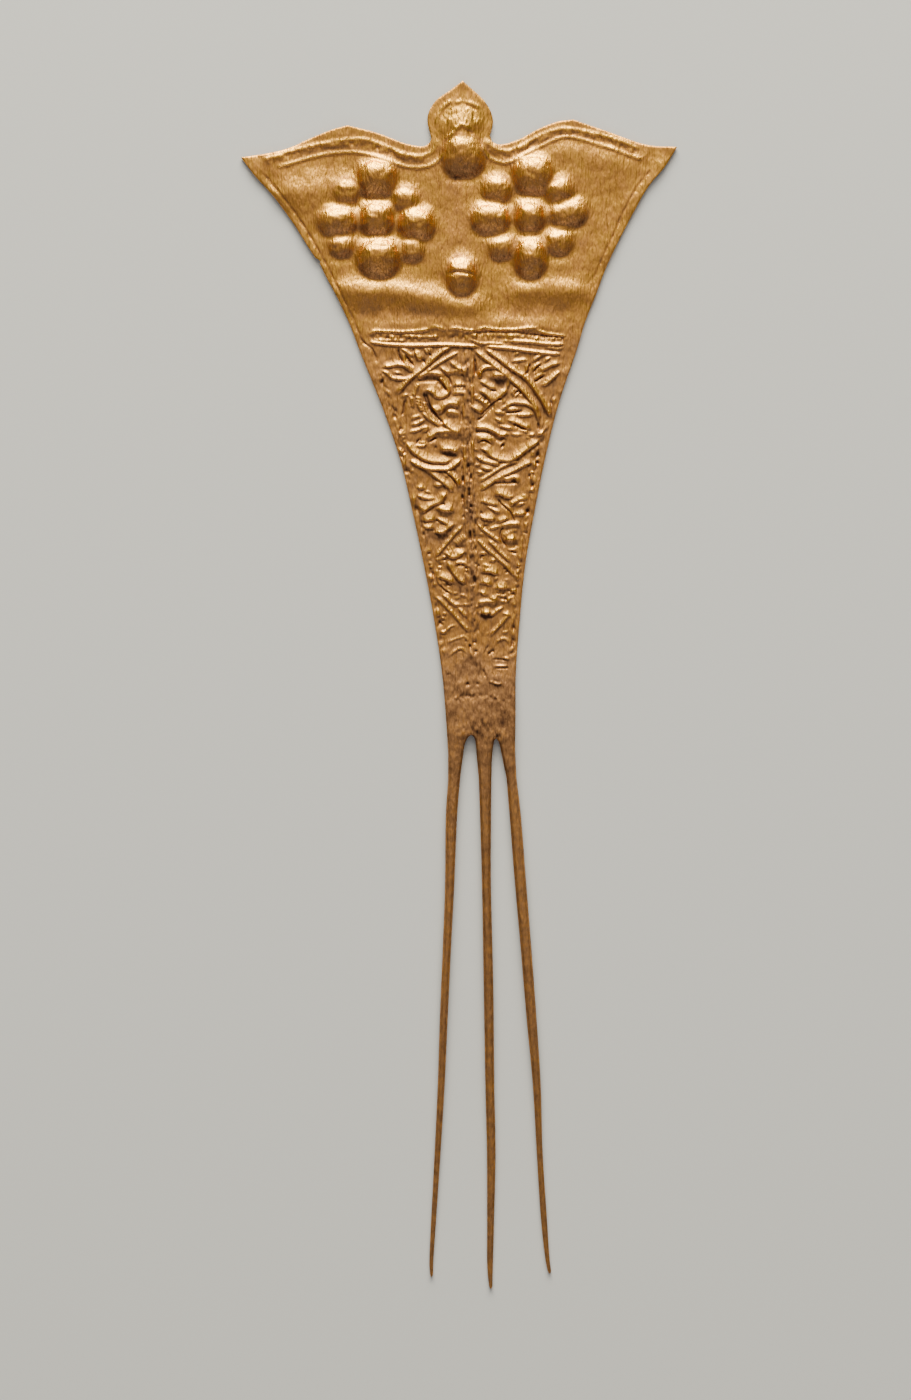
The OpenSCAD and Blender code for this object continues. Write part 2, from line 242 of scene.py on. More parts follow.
# Tool marks and old scratches, drawn out along the hairpin, fainter on the head and on the prongs.
# Each: seed, radius, stretch along Y, and height
GRAIN = [(5, 0.11, 2.6, 0.004), (6, 0.22, 1.8, 0.009), (7, 0.6, 1.3, 0.020), (12, 0.32, 1.0, 0.011)]
grain = sum(height * hammering(seed, radius, stretch) for seed, radius, stretch, height in GRAIN)
grain = grain * (1 - 0.2 * ease(50, 56, grid_y))
grain = grain * (1 - 0.5 * ease(0, -20, grid_y))

# The bosses: two rosettes of nine, one boss under the finial and one between the rosettes.
# Each was beaten out of the gold sheet from behind, over pitch. Round its foot the sheet is drawn up
# a little on the finial's side and sinks a little on the other. The crowns lie towards the finial.

# Each row: X and Y of the middle, width, length, turn in degrees and height. The outlines are
# broadened from ovals towards barrels, by the power BROAD or by a seventh number in the row
BOSSES = [
    (-12.6, 70.0, 5.5, 5.7, 0, 1.8), (-12.4, 76.1, 6.5, 6.1, 0, 2.0),
    (-8.2, 72.8, 4.2, 4.0, -10, 1.0), (-6.6, 69.1, 5.9, 5.2, -12, 1.8),
    (-7.4, 65.3, 4.0, 4.0, 0, 0.9), (-12.4, 64.2, 6.9, 6.2, 0, 2.0),
    (-17.9, 66.1, 4.2, 3.6, 0, 0.9), (-18.4, 69.8, 6.5, 4.7, 4, 1.6),
    (-17.0, 74.2, 4.4, 4.4, -10, 0.9), (10.4, 69.8, 5.0, 4.9, 0, 1.6),
    (10.9, 76.1, 6.7, 6.3, 0, 2.0), (14.9, 73.5, 4.6, 3.9, 22, 1.2),
    (16.0, 70.1, 6.3, 4.3, 4, 1.3), (14.6, 65.9, 4.5, 4.1, -10, 1.2),
    (10.3, 63.6, 5.1, 6.5, 0, 1.8), (6.1, 65.3, 4.3, 3.9, 10, 1.0),
    (4.5, 69.7, 6.4, 4.8, 0, 1.6), (5.5, 74.0, 4.9, 4.4, -20, 1.3),
    (0.6, 79.1, 6.8, 6.3, 0, 1.6, 1.6), (-0.1, 61.1, 4.8, 6.2, 0, 1.6),
]

BROAD = 1.25
CREST = 0.26
SETTLED = 0.8
ROUNDNESS = 1.9
DRAWN_UP = 0.1
SKIRT = 0.9
SKIRT_RISE = 0.16
SKIRT_SINK = 0.14
SKIRT_ENDS = 0.4
BOSS_REACH = 6

# A cap's crown lies CREST of the way from its middle to the outline. From there it falls to nothing
# at the outline: it stands at 1 less the share of the way out, to the power ROUNDNESS, of its height.
# Outside, the sheet stands up or sinks as a bell of the width SKIRT does
bosses = np.zeros_like(grid_x)
foot = np.zeros_like(grid_x)
for x, y, width, length, turn, height, *broader in BOSSES:
    a = math.radians(turn)
    at = window(np.array([(x, y)]), BOSS_REACH)
    dx, dy = grid_x[at] - x, grid_y[at] - y
    u = (dx * math.cos(a) + dy * math.sin(a)) / (width / 2)
    u = np.sign(u) * np.abs(u) ** (broader[0] if broader else BROAD)
    v = (dy * math.cos(a) - dx * math.sin(a)) / (length / 2)
    out = np.sqrt(u**2 + v**2)
    up = np.clip(v / np.maximum(out, 1e-6), 0, 1)
    down = np.clip(-v / np.maximum(out, 1e-6), 0, 1)
    # The share of the way out from the crown to the outline, through each place
    lean = u**2 + (v - CREST) ** 2
    toward = CREST * (v - CREST)
    share = lean / np.maximum(np.sqrt(toward**2 + (1 - CREST**2) * lean) - toward, 1e-6)
    cap = SETTLED * height * np.clip(1 - (share / (1 + DRAWN_UP * up)) ** ROUNDNESS, 0, 1)
    bosses[at] = np.maximum(bosses[at], cap)
    beyond = np.maximum(out - 1, 0) * width / 2
    foot[at] += np.exp(-((beyond / SKIRT) ** 2)) * (SKIRT_RISE * up - SKIRT_SINK * down)
foot = blurred(foot * np.clip(1 - bosses / SKIRT_ENDS, 0, 1), 0.12)
# A wider blur fills the gaps between neighbours, where the metal wouldn't stretch into a crease
bosses = np.maximum(blurred(bosses, 0.08), 0.95 * blurred(bosses, 0.42))
bosses += (0.026 * hammering(8, 0.35) + 0.028 * hammering(9, 0.16)) * ease(0.2, 0.7, bosses)

# Marks left on the bosses, in the same form as the swells: folds, split seams and rims at the foot
BOSS_MARKS = [
    (-0.30, 0.3, 0.3, [(-13.7, 65.9), (-12.4, 66.0), (-11.0, 65.8)]),
    (0.10, 0.2, 0.2, [(-18.9, 65.7), (-17.1, 65.7)]),
    (0.10, 0.2, 0.2, [(-18.8, 65.1), (-17.2, 65.1)]),
    (-0.35, 0.25, 0.6, [(-2.2, 61.6), (-0.8, 61.9), (0.6, 61.7), (2.0, 61.4)]),
    (0.15, 0.2, 0.2, [(-0.6, 61.2), (0.4, 61.3), (1.5, 61.0)]),
    (0.18, 0.3, 0.3, [(-1.6, 76.2), (0.2, 76.4), (2.2, 76.1)]),
    (0.16, 0.3, 0.3, [(-14.2, 73.6), (-12.4, 73.4), (-10.8, 73.5)]),
    (0.14, 0.3, 0.3, [(2.3, 67.7), (3.8, 67.5), (5.4, 67.7), (7.2, 68.3)]),
    (0.14, 0.25, 0.3, [(8.6, 67.6), (10.4, 67.4), (12.2, 67.7)]),
    (0.12, 0.25, 0.25, [(-14.2, 61.7), (-12.3, 61.4), (-10.6, 61.7)]),
    (0.14, 0.25, 0.25, [(14.2, 68.2), (15.6, 68.1), (17.4, 68.0)]),
    (-0.15, 0.6, 0.6, [(14.9, 71.9), (14.8, 71.0)]),
]
for rise, above, below, points in BOSS_MARKS:
    at, height = ridge(rise, above, below, points)
    bosses[at] += height

# The mouldings under the wings, the arches in the finial and the cross bands.
# They are lines of the gold itself, chased into the sheet from both sides with small punches. Most
# stand like a low roof with a steep lower side, and some show the punch's single blows as beads.

# Each row: height, width above, width below, punch marks to the millimetre, and the line
LINES = [
    (0.15, 0.4, 1.0, 0.0, [(-29.4, 79.4), (-27.6, 79.8), (-25, 80.6), (-22, 81.3), (-19, 81.8),
                           (-16.4, 82.1), (-14.2, 82.1), (-12.4, 81.5), (-10.8, 80.8), (-9.4, 80.2),
                           (-7.6, 79.6), (-5.9, 79.4), (-4.6, 79.6), (-3.7, 80.3), (-3.3, 81.3),
                           (-3.6, 82.0)]),
    (0.16, 0.3, 0.2, 0.0, [(-27.2, 78.2), (-25.2, 78.7), (-22.8, 79.4), (-20, 80.0), (-17.4, 80.2),
                           (-15, 80.1), (-12.8, 79.6), (-10.8, 78.9), (-8.8, 78.1), (-7.1, 77.7),
                           (-5.4, 77.7), (-4.0, 78.1), (-2.9, 78.9), (-2.2, 79.8)]),
    (0.15, 0.4, 1.0, 0.0, [(4.0, 81.9), (4.6, 80.9), (5.6, 80.2), (6.8, 79.9), (8.3, 80.1), (10.4, 81.1),
                           (12.0, 81.9), (13.7, 82.6), (15.8, 83.0), (18.0, 82.7), (20.6, 82.1),
                           (23.8, 81.1), (26.9, 79.7)]),
    (0.16, 0.3, 0.2, 0.0, [(3.5, 80.8), (4.2, 79.3), (5.2, 78.5), (6.8, 78.1), (8.4, 78.5), (10.0, 79.4),
                           (12.0, 80.3), (14.0, 81.2), (15.4, 81.7), (17.0, 81.7), (20.0, 80.8),
                           (23.0, 79.8), (26.0, 78.6), (27.6, 78.1)]),
    (0.14, 0.2, 0.2, 0.0, [(27.6, 78.1), (27.7, 78.7), (28.2, 78.7)]),
    (0.22, 0.4, 0.3, 2.2, [(-3.3, 83.8), (-3.0, 85.1), (-2.5, 86.1), (-1.9, 86.9), (-1.2, 87.4),
                           (-0.7, 87.6)]),
    (0.20, 0.35, 0.35, 2.0, [(-0.6, 87.2), (0.1, 87.4), (0.9, 87.6)]),
    (0.12, 0.4, 0.4, 0.0, [(1.0, 87.3), (1.9, 87.1), (2.8, 86.7), (3.4, 85.9)]),
    (0.22, 0.35, 0.8, 0.0, [(-1.9, 82.0), (-1.0, 82.6), (-0.4, 83.3), (0.4, 83.9), (1.1, 83.6),
                            (2.0, 83.1)]),
    (0.10, 0.3, 0.3, 0.0, [(-1.7, 83.8), (-1.4, 84.5), (-0.8, 85.0)]),
    (-0.30, 0.22, 0.22, 0.0, [(0.6, 88.4), (0.85, 88.4)]),
    (0.23, 0.38, 0.22, 1.4, [(-14.1, 52.9), (-13.2, 53.3), (-11.4, 53.2), (-9, 53.1), (-6.5, 53.2),
                             (-4.9, 53.4)]),
    (0.20, 0.38, 0.22, 2.6, [(-5.1, 53.5), (-4.2, 53.7), (-3.4, 53.5), (-2.6, 53.2)]),
    (0.18, 0.3, 0.3, 1.2, [(-2.2, 53.3), (-1.2, 53.5), (0.2, 53.2), (1.9, 53.0)]),
    (0.23, 0.38, 0.22, 1.7, [(2.0, 53.0), (3.2, 53.4), (5.0, 53.1), (7.5, 53.0), (9.6, 53.2),
                             (11.0, 53.2)]),
    (0.20, 0.38, 0.22, 2.4, [(11.0, 52.9), (12.2, 52.4), (13.6, 52.1), (15.4, 51.9)]),
    (-0.14, 0.3, 0.5, 0.0, [(1.2, 52.7), (4.0, 52.8), (7.4, 52.7), (9.6, 52.4), (12.4, 52.0),
                            (15.0, 51.7)]),
    (0.14, 0.3, 0.3, 1.0, [(-13.4, 52.0), (-11.4, 51.9), (-8.6, 51.8)]),
    (0.16, 0.2, 0.25, 1.0, [(-9.2, 52.6), (-7.5, 52.4), (-5.6, 52.3), (-3.6, 52.3)]),
    (0.24, 0.4, 0.22, 0.0, [(-14.0, 51.7), (-12.2, 51.4), (-9.4, 51.1), (-6.2, 51.0), (-3.0, 51.0),
                            (0.2, 50.8), (2.2, 50.6)]),
    (0.18, 0.25, 0.25, 2.0, [(1.1, 51.7), (1.8, 51.4), (2.6, 51.1), (4.2, 51.1), (6.2, 50.9)]),
    (0.15, 0.25, 0.25, 2.0, [(5.8, 51.4), (7.0, 51.4)]),
    (0.20, 0.4, 0.25, 0.0, [(7.0, 51.3), (9.4, 51.2), (11.6, 50.9), (13.4, 50.7), (15.0, 50.7)]),
    (0.16, 0.3, 0.25, 1.8, [(12.2, 50.3), (13.0, 50.2), (14.2, 50.0), (15.0, 50.3)]),
    (0.24, 0.4, 0.22, 0.0, [(3.4, 50.6), (6.4, 50.3), (9.0, 49.9), (11.6, 49.5), (14.4, 49.2)]),
]

BEAD_DEPTH = 0.25
SHOWS_UNDER = 0.3
relief = np.zeros_like(grid_x)


def chase(rows):
    """Adds rows of lines to the relief. Punch marks vary the height along the line as a sine does. Where
    a line crosses an older one, the higher stands and a little of the lower shows."""
    for rise, above, below, marks, points in rows:
        at, height = ridge(rise, above, below, points)
        if marks:
            path = curve(points, 0.3)
            along = nearest_on(path, grid_x[at], grid_y[at])[2]
            height = height * (1 - BEAD_DEPTH + BEAD_DEPTH * np.sin(2 * np.pi * marks * along))
        if rise < 0:
            relief[at] += height
        else:
            lower = np.clip(np.minimum(relief[at], height), 0, None)
            relief[at] = np.maximum(relief[at], height) + SHOWS_UNDER * lower


chase(LINES)

# The long bands of the panel.
# Pairs of roofed lines cross the panel as a chain of lozenges. Like all that follows they are struck
# into the gold with a few punches, used over and over.

# Each punch: height, width on the finial's side of the line and width on the other
PUNCHES = {
    "band": (0.25, 0.85, 0.26),
    "lip": (0.22, 0.95, 0.20),
    "line": (0.18, 0.42, 0.20),
    "hair": (0.13, 0.18, 0.18),
    "faint": (0.07, 0.30, 0.18),
    "worn": (-0.09, 0.18, 0.18),
    "hood": (0.19, 0.50, 1.05),
    "cup": (0.25, 1.40, 0.24),
    "slit": (-0.20, 0.20, 0.20),
    "cut": (-0.22, 0.17, 0.17),
}
FINE = ("hair", "slit", "cut", "worn")


def punch(rows):
    """Chases rows of a punch's name and a line. Broad punches raise the metal, and fine ones cut or
    prick what they raised."""
    chase([(*PUNCHES[name], 0, points) for name, points in rows if name not in FINE])
    for name, points in rows:
        if name in FINE:
            at, height = ridge(*PUNCHES[name], points, ends=(0.3, 0.3), step=0.2)
            relief[at] += height


def hatch(height, gap, start, finish, width=0.2):
    """Short strokes side by side, a gap apart: each runs from a place on one line to the like place on
    the other."""
    starts, finishes = curve(start, gap), curve(finish, gap)
    share = np.linspace(0, 1, len(starts))
    others = [np.interp(share, np.linspace(0, 1, len(finishes)), column) for column in finishes.T]
    for place, other in zip(starts, np.stack(others, 1)):
        at, stroke = ridge(height, width, width, [place, other], ends=(0.25, 0.25), step=0.2)
        relief[at] += stroke


def dots(rows):
    """Single blows of a round punch: X, Y, radius and height. Each is a bell, the height times e to the
    minus square of the distance over the radius."""
    for x, y, radius, height in rows:
        at = window(np.array([(x, y)]), 3 * radius)
        relief[at] += height * np.exp(-((grid_x[at] - x) ** 2 + (grid_y[at] - y) ** 2) / radius**2)


# Hatching inside the finial's arches, and pricks along the mouldings under the wings
hatch(-0.13, 0.36, [(-3.35, 84.2), (-3.0, 85.3), (-2.3, 86.4), (-1.4, 87.2)],
      [(-2.85, 84.5), (-2.5, 85.4), (-1.9, 86.2), (-1.0, 86.9)], width=0.15)
hatch(-0.13, 0.32, [(0.9, 87.3), (1.9, 87.1), (2.8, 86.6)], [(1.3, 86.6), (2.0, 86.4), (2.7, 85.9)],
      width=0.15)
hatch(-0.13, 0.30, [(0.2, 84.0), (0.9, 83.8), (1.7, 83.3), (2.3, 82.7)],
      [(0.1, 83.4), (0.6, 83.2), (1.2, 82.8), (1.7, 82.3)], width=0.14)
for row in (LINES[0], LINES[2]):
    dots([(x, y - 0.28, 0.15, -0.09) for x, y in curve(row[4], 0.55)[2:]])

# The bands, from the cross band down to the waist
punch([
    ("band", [(-1.9, 50.6), (-3.0, 50.15), (-4.0, 49.4), (-5.0, 48.5), (-6.0, 47.6), (-7.0, 46.85),
              (-7.8, 46.3), (-8.6, 45.6), (-9.3, 44.85), (-10.1, 43.9)]),
    ("line", [(-0.8, 49.85), (-2.0, 49.25), (-3.2, 48.6), (-4.2, 48.0), (-5.2, 47.3), (-6.0, 46.9)]),
    ("band", [(1.8, 50.0), (2.6, 49.25), (3.4, 48.6), (4.2, 47.95), (5.0, 47.3), (6.2, 46.3),
              (6.9, 45.6), (7.8, 44.8), (8.5, 44.1), (9.2, 43.3), (9.8, 42.4), (10.3, 41.7), (10.9, 40.5)]),
    ("band", [(3.4, 50.15), (4.3, 49.4), (5.2, 48.75), (6.1, 48.0), (7.0, 47.25), (7.9, 46.65),
              (8.7, 46.15), (9.5, 45.4), (10.3, 44.4), (11.0, 43.35), (11.7, 42.2), (12.3, 41.0),
              (12.8, 40.0)]),
    ("band", [(-8.4, 33.75), (-7.6, 33.25), (-6.8, 32.85), (-5.9, 32.5), (-5.0, 32.4), (-4.0, 32.35),
              (-3.0, 32.35), (-2.2, 32.6), (-1.5, 33.1), (-0.9, 33.8)]),
    ("band", [(-3.2, 32.2), (-2.5, 31.65), (-1.9, 31.05), (-1.4, 30.45), (-1.1, 29.7)]),
    ("lip", [(-6.2, 32.35), (-5.4, 31.9), (-4.7, 31.3), (-4.0, 30.75), (-3.3, 30.2), (-2.7, 29.6),
             (-2.1, 29.0)]),
    ("lip", [(2.0, 29.1), (2.9, 29.7), (3.8, 30.25), (4.6, 30.8), (5.5, 31.2), (6.5, 31.6), (7.4, 32.05),
             (8.3, 32.5), (9.1, 32.85), (9.9, 33.1)]),
    ("line", [(2.0, 30.4), (2.8, 30.95), (3.6, 31.45), (4.5, 32.0), (5.3, 32.5), (6.1, 32.85), (6.9, 33.1),
              (7.8, 33.15)]),
    ("line", [(-0.75, 23.9), (-1.2, 23.4), (-1.6, 23.05), (-2.0, 22.65), (-2.3, 22.3), (-2.7, 21.8),
              (-3.1, 21.4), (-3.6, 20.8), (-4.1, 20.25), (-4.5, 19.8), (-4.9, 19.3)]),
    ("line", [(1.5, 24.15), (1.9, 23.6), (2.3, 23.15), (2.8, 22.8), (3.3, 22.4), (3.8, 22.0), (4.4, 21.6),
              (4.9, 21.25)]),
    ("line", [(2.9, 21.6), (3.3, 21.3), (3.7, 20.95), (4.1, 20.5), (4.5, 20.0), (4.9, 19.6), (5.3, 19.2),
              (5.8, 18.7), (6.35, 18.25)]),
    ("line", [(1.3, 21.8), (1.8, 21.3), (2.2, 20.8), (2.7, 20.3), (3.3, 19.8), (3.8, 19.4), (4.3, 18.9),
              (4.7, 18.5), (5.2, 18.1), (5.7, 17.6), (6.1, 17.1), (6.5, 16.6), (6.95, 16.1)]),
    ("line", [(-4.1, 13.6), (-3.6, 13.3), (-3.1, 12.8), (-2.6, 12.35), (-2.2, 12.05), (-1.8, 12.0),
              (-1.3, 11.95)]),
    ("line", [(-1.1, 12.05), (-0.3, 12.0)]),
    ("line", [(-5.2, 13.2), (-4.8, 13.1), (-4.5, 12.85), (-4.1, 12.4), (-3.6, 11.9), (-3.2, 11.4),
              (-2.8, 11.05), (-2.4, 10.6), (-2.0, 10.1), (-1.6, 9.6), (-1.2, 9.1), (-0.8, 8.65),
              (-0.25, 8.05)]),
    ("line", [(-1.8, 11.7), (-1.3, 11.1), (-0.9, 10.6), (-0.5, 10.15)]),
    ("line", [(6.1, 10.2), (5.7, 10.1), (5.4, 9.9), (5.0, 9.4), (4.6, 9.0), (4.2, 8.6), (3.8, 8.2),
              (3.4, 7.8), (3.0, 7.2)]),
])

# The midrib's cuts: two broken rows of short upright cuts down the middle of the panel.
# They were struck with a sharp chisel, with a few blows of a round punch beside them, and the rough
# metal between them was left standing.

punch([
    ("cut", [(0.7, 49.3), (0.75, 48.0), (0.7, 47.4)]), ("cut", [(0.6, 46.9), (0.7, 45.4)]),
    ("cut", [(1.65, 48.9), (1.7, 47.2), (1.6, 46.4)]), ("cut", [(0.4, 44.2), (0.45, 43.0)]),
    ("cut", [(0.5, 42.6), (0.6, 41.2)]), ("cut", [(0.35, 39.6), (0.4, 38.6)]),
    ("cut", [(0.7, 38.4), (0.75, 36.6)]), ("cut", [(0.3, 37.9), (0.35, 36.8)]),
    ("cut", [(0.7, 35.9), (0.7, 34.2)]), ("cut", [(0.3, 33.2), (0.4, 31.6)]),
    ("cut", [(0.7, 32.6), (0.65, 30.6)]), ("cut", [(-0.5, 34.2), (-0.55, 32.6)]),
    ("cut", [(-0.55, 31.9), (-0.5, 30.2)]), ("cut", [(-0.5, 37.0), (-0.45, 35.8)]),
    ("cut", [(0.3, 29.6), (0.35, 28.2)]), ("cut", [(-0.75, 28.6), (-0.7, 27.2)]),
    ("cut", [(1.1, 27.1), (1.15, 25.2)]), ("cut", [(0.5, 27.0), (0.5, 25.4)]),
    ("cut", [(0.3, 23.2), (0.35, 21.4)]), ("cut", [(0.9, 23.2), (1.0, 21.6)]),
    ("cut", [(0.35, 20.9), (0.4, 19.6)]), ("cut", [(1.1, 20.9), (1.15, 19.9)]),
    ("cut", [(0.4, 18.9), (0.6, 17.6)]), ("cut", [(0.2, 16.8), (0.4, 15.8)]),
    ("cut", [(1.05, 17.2), (1.1, 15.9)]), ("cut", [(0.6, 14.5), (0.6, 13.4)]),
    ("cut", [(1.15, 14.2), (1.1, 13.4)]), ("cut", [(0.5, 12.3), (0.6, 11.0)]),
    ("cut", [(0.2, 10.2), (0.3, 9.2)]), ("cut", [(-0.1, 6.2), (-0.05, 5.4)]),
    ("hair", [(0.3, 14.8), (0.6, 14.9), (0.9, 14.7)]), ("hair", [(-0.3, 42.2), (-0.1, 40.0)]),
    ("hair", [(1.1, 45.0), (1.15, 42.0)]), ("hair", [(1.25, 26.6), (1.4, 24.8)]),
    ("hair", [(1.0, 36.5), (1.05, 33.0)]), ("hair", [(-0.2, 36.0), (-0.2, 33.5)]),
])
dots([
    (0.55, 6.4, 0.2, -0.1), (0.8, 5.0, 0.2, -0.12), (-0.6, 0.1, 0.24, -0.12), (0.95, 0.1, 0.2, -0.09),
    (-0.5, 17.7, 0.2, -0.15), (-0.2, 17.2, 0.18, 0.12), (0.0, 17.8, 0.2, 0.12), (1.6, 17.7, 0.22, -0.15),
    (-0.7, 25.2, 0.2, -0.15), (-0.2, 26.4, 0.22, -0.1), (0.3, 38.6, 0.2, 0.1), (0.8, 38.0, 0.2, 0.1),
])

# The upper corners of the panel.
# Leaves spring from the bands into both corners under the cross band. They are chased into the gold
# with the same punches, outlined first and then veined.

punch([
    ("lip", [(-12.2, 47.9), (-11.0, 48.0), (-10.2, 48.15), (-9.2, 48.1), (-8.6, 47.75), (-8.0, 47.3),
             (-7.4, 46.9)]),
    ("line", [(-12.4, 47.4), (-11.5, 46.9), (-11.0, 46.35), (-10.3, 46.1), (-9.4, 46.0), (-8.6, 46.05),
              (-8.1, 46.2)]),
    ("line", [(-10.5, 47.1), (-9.9, 46.9), (-9.3, 46.65)]),
    ("slit", [(-10.3, 46.9), (-9.8, 46.75), (-9.3, 46.6)]),
    ("slit", [(-9.75, 50.6), (-9.75, 49.8), (-9.5, 49.1), (-9.1, 48.4)]),
    ("line", [(-9.4, 50.7), (-8.7, 50.15), (-8.0, 49.65), (-7.4, 49.3)]),
    ("slit", [(-8.65, 49.6), (-8.3, 49.0), (-7.9, 48.4), (-7.6, 48.0)]),
    ("hair", [(-9.1, 50.0), (-8.95, 49.0), (-8.5, 48.2), (-7.9, 47.6)]),
    ("hair", [(-8.5, 49.8), (-8.05, 49.2), (-7.65, 48.6)]),
    ("cup", [(-7.5, 50.4), (-7.1, 49.5), (-6.6, 49.0), (-6.1, 48.9)]),
    ("slit", [(-7.5, 50.6), (-7.4, 49.8), (-7.2, 49.1)]),
    ("slit", [(-6.2, 49.2), (-6.0, 48.6), (-5.8, 48.2)]),
    ("cup", [(-5.9, 50.6), (-5.4, 50.1), (-4.95, 49.6)]),
    ("slit", [(-5.6, 50.5), (-5.2, 49.9), (-4.95, 49.3)]),
    ("line", [(7.5, 49.2), (7.9, 49.35), (8.4, 49.7)]),
    ("line", [(7.2, 48.2), (7.7, 48.35), (8.3, 48.4), (8.9, 48.5), (9.5, 48.4)]),
    ("slit", [(9.2, 46.3), (9.5, 46.7), (9.7, 47.3), (9.9, 47.9)]),
    ("line", [(9.0, 46.45), (9.35, 46.9), (9.5, 47.5), (9.7, 48.0)]),
    ("line", [(10.2, 48.15), (10.8, 48.6), (11.5, 49.05), (12.1, 49.3)]),
    ("line", [(10.15, 46.7), (10.55, 47.3), (11.0, 47.7), (11.6, 48.0)]),
    ("slit", [(10.4, 46.6), (10.9, 47.3), (11.5, 47.75)]),
    ("line", [(12.0, 48.0), (12.5, 48.5), (13.1, 48.8)]),
    ("lip", [(11.3, 46.5), (11.8, 46.95), (12.4, 47.2), (13.2, 47.6), (14.4, 47.8)]),
    ("line", [(10.3, 45.4), (11.0, 45.9), (11.6, 46.3), (12.2, 46.2)]),
    ("slit", [(10.5, 45.1), (11.2, 45.55), (11.9, 46.0)]),
    ("lip", [(11.5, 44.6), (12.1, 44.75), (12.7, 45.2), (13.5, 45.9), (14.3, 46.7)]),
    ("hair", [(7.6, 47.9), (8.0, 47.3), (8.2, 46.9)]),
])

# The left curl of the panel: a hooded curl over a bulb, knuckled stems beside the midrib and a
# serrated leaf. The teeth are rows of short strokes, struck one beside the other.

punch([
    ("hood", [(-7.2, 46.0), (-6.4, 46.5), (-5.8, 46.8), (-5.0, 46.85), (-4.2, 46.8), (-3.6, 46.6),
              (-3.2, 46.2)]),
    ("line", [(-4.1, 46.15), (-3.5, 45.9), (-3.1, 45.4), (-2.75, 44.9), (-2.45, 44.4), (-2.35, 43.9),
              (-2.7, 43.5)]),
    ("cup", [(-5.8, 44.3), (-5.2, 44.1), (-4.7, 43.8), (-4.4, 43.45), (-4.0, 43.2), (-3.5, 43.15),
             (-3.0, 43.3), (-2.6, 43.6), (-2.3, 44.1)]),
    ("slit", [(-6.1, 43.9), (-5.95, 43.0), (-5.6, 42.0), (-5.1, 41.2), (-4.4, 40.4), (-3.7, 39.7),
              (-3.3, 39.3)]),
    ("slit", [(-5.8, 43.9), (-5.6, 43.0), (-5.3, 42.1), (-4.8, 41.3), (-4.2, 40.6)]),
    ("cup", [(-5.0, 42.0), (-4.6, 41.4), (-4.2, 40.9), (-3.9, 40.7)]),
    ("cup", [(-3.9, 40.75), (-3.6, 41.2), (-3.2, 41.75), (-2.7, 42.1), (-2.1, 42.25), (-1.4, 42.1),
             (-0.8, 41.7)]),
    ("hood", [(-3.3, 41.3), (-2.8, 41.9), (-2.1, 42.15), (-1.4, 41.9), (-1.0, 41.5)]),
    ("line", [(-2.9, 40.65), (-2.4, 41.0), (-1.9, 41.05), (-1.4, 40.8), (-1.0, 40.3)]),
    ("hood", [(-2.8, 40.5), (-2.3, 40.85), (-1.9, 40.9), (-1.4, 40.65), (-1.1, 40.2)]),
    ("cup", [(-3.4, 39.7), (-2.9, 39.0), (-2.4, 38.55), (-1.9, 38.2), (-1.3, 37.9), (-0.7, 37.5)]),
    ("lip", [(-2.0, 48.45), (-1.5, 47.95), (-1.0, 47.5), (-0.4, 47.35), (0.2, 47.45)]),
    ("hood", [(-1.7, 46.8), (-1.1, 47.15), (-0.4, 47.2), (0.1, 46.95), (0.4, 46.4)]),
    ("hair", [(-0.9, 46.7), (-0.3, 46.7), (0.2, 46.4)]),
    ("lip", [(-1.7, 44.85), (-0.9, 45.0), (0.0, 44.9)]),
    ("lip", [(-1.8, 43.45), (-1.2, 43.75), (-0.6, 43.8), (0.0, 43.55)]),
    ("hair", [(-1.2, 44.7), (-1.2, 44.2)]), ("hair", [(-0.8, 44.75), (-0.8, 44.2)]),
    ("hair", [(-0.4, 44.7), (-0.4, 44.2)]),
    ("lip", [(-3.55, 47.65), (-3.0, 47.2), (-2.5, 46.9), (-1.8, 46.65)]),
    ("slit", [(-2.9, 46.6), (-2.4, 46.1), (-2.1, 45.4), (-2.0, 44.9)]),
    ("line", [(-9.4, 43.4), (-8.8, 43.6), (-8.3, 43.65)]),
    ("slit", [(-8.8, 43.0), (-9.1, 42.2), (-9.2, 41.3), (-9.5, 40.6)]),
    ("line", [(-8.2, 39.9), (-7.6, 40.25), (-7.0, 40.4), (-6.6, 40.2)]),
    ("line", [(-8.1, 39.1), (-7.2, 39.3), (-6.6, 39.6), (-6.0, 39.9)]),
    ("line", [(-8.4, 38.05), (-7.4, 38.25), (-6.7, 38.5), (-6.0, 38.7), (-5.3, 38.6)]),
    ("line", [(-6.6, 38.0), (-5.9, 38.3), (-5.3, 38.5)]),
    ("line", [(-6.5, 41.1), (-6.0, 40.5), (-5.4, 39.9), (-4.8, 39.5), (-4.2, 39.2)]),
])
hatch(0.20, 0.4, [(-8.2, 43.25), (-8.15, 42.7), (-8.1, 42.1)], [(-7.7, 42.95), (-7.65, 42.5), (-7.6, 41.9)])
hatch(0.20, 0.4, [(-7.3, 43.3), (-7.3, 42.3), (-7.0, 41.6)], [(-6.6, 43.0), (-6.5, 42.0), (-6.2, 41.2)])
hatch(0.18, 0.38, [(-6.3, 42.4), (-6.0, 41.2), (-5.2, 40.0), (-4.4, 39.3)],
      [(-5.8, 42.3), (-5.4, 40.9), (-4.6, 39.7), (-3.9, 38.9)])
hatch(0.20, 0.4, [(-7.8, 43.9), (-7.5, 44.7), (-7.2, 45.3)], [(-7.3, 43.6), (-7.1, 44.3), (-6.8, 44.9)])
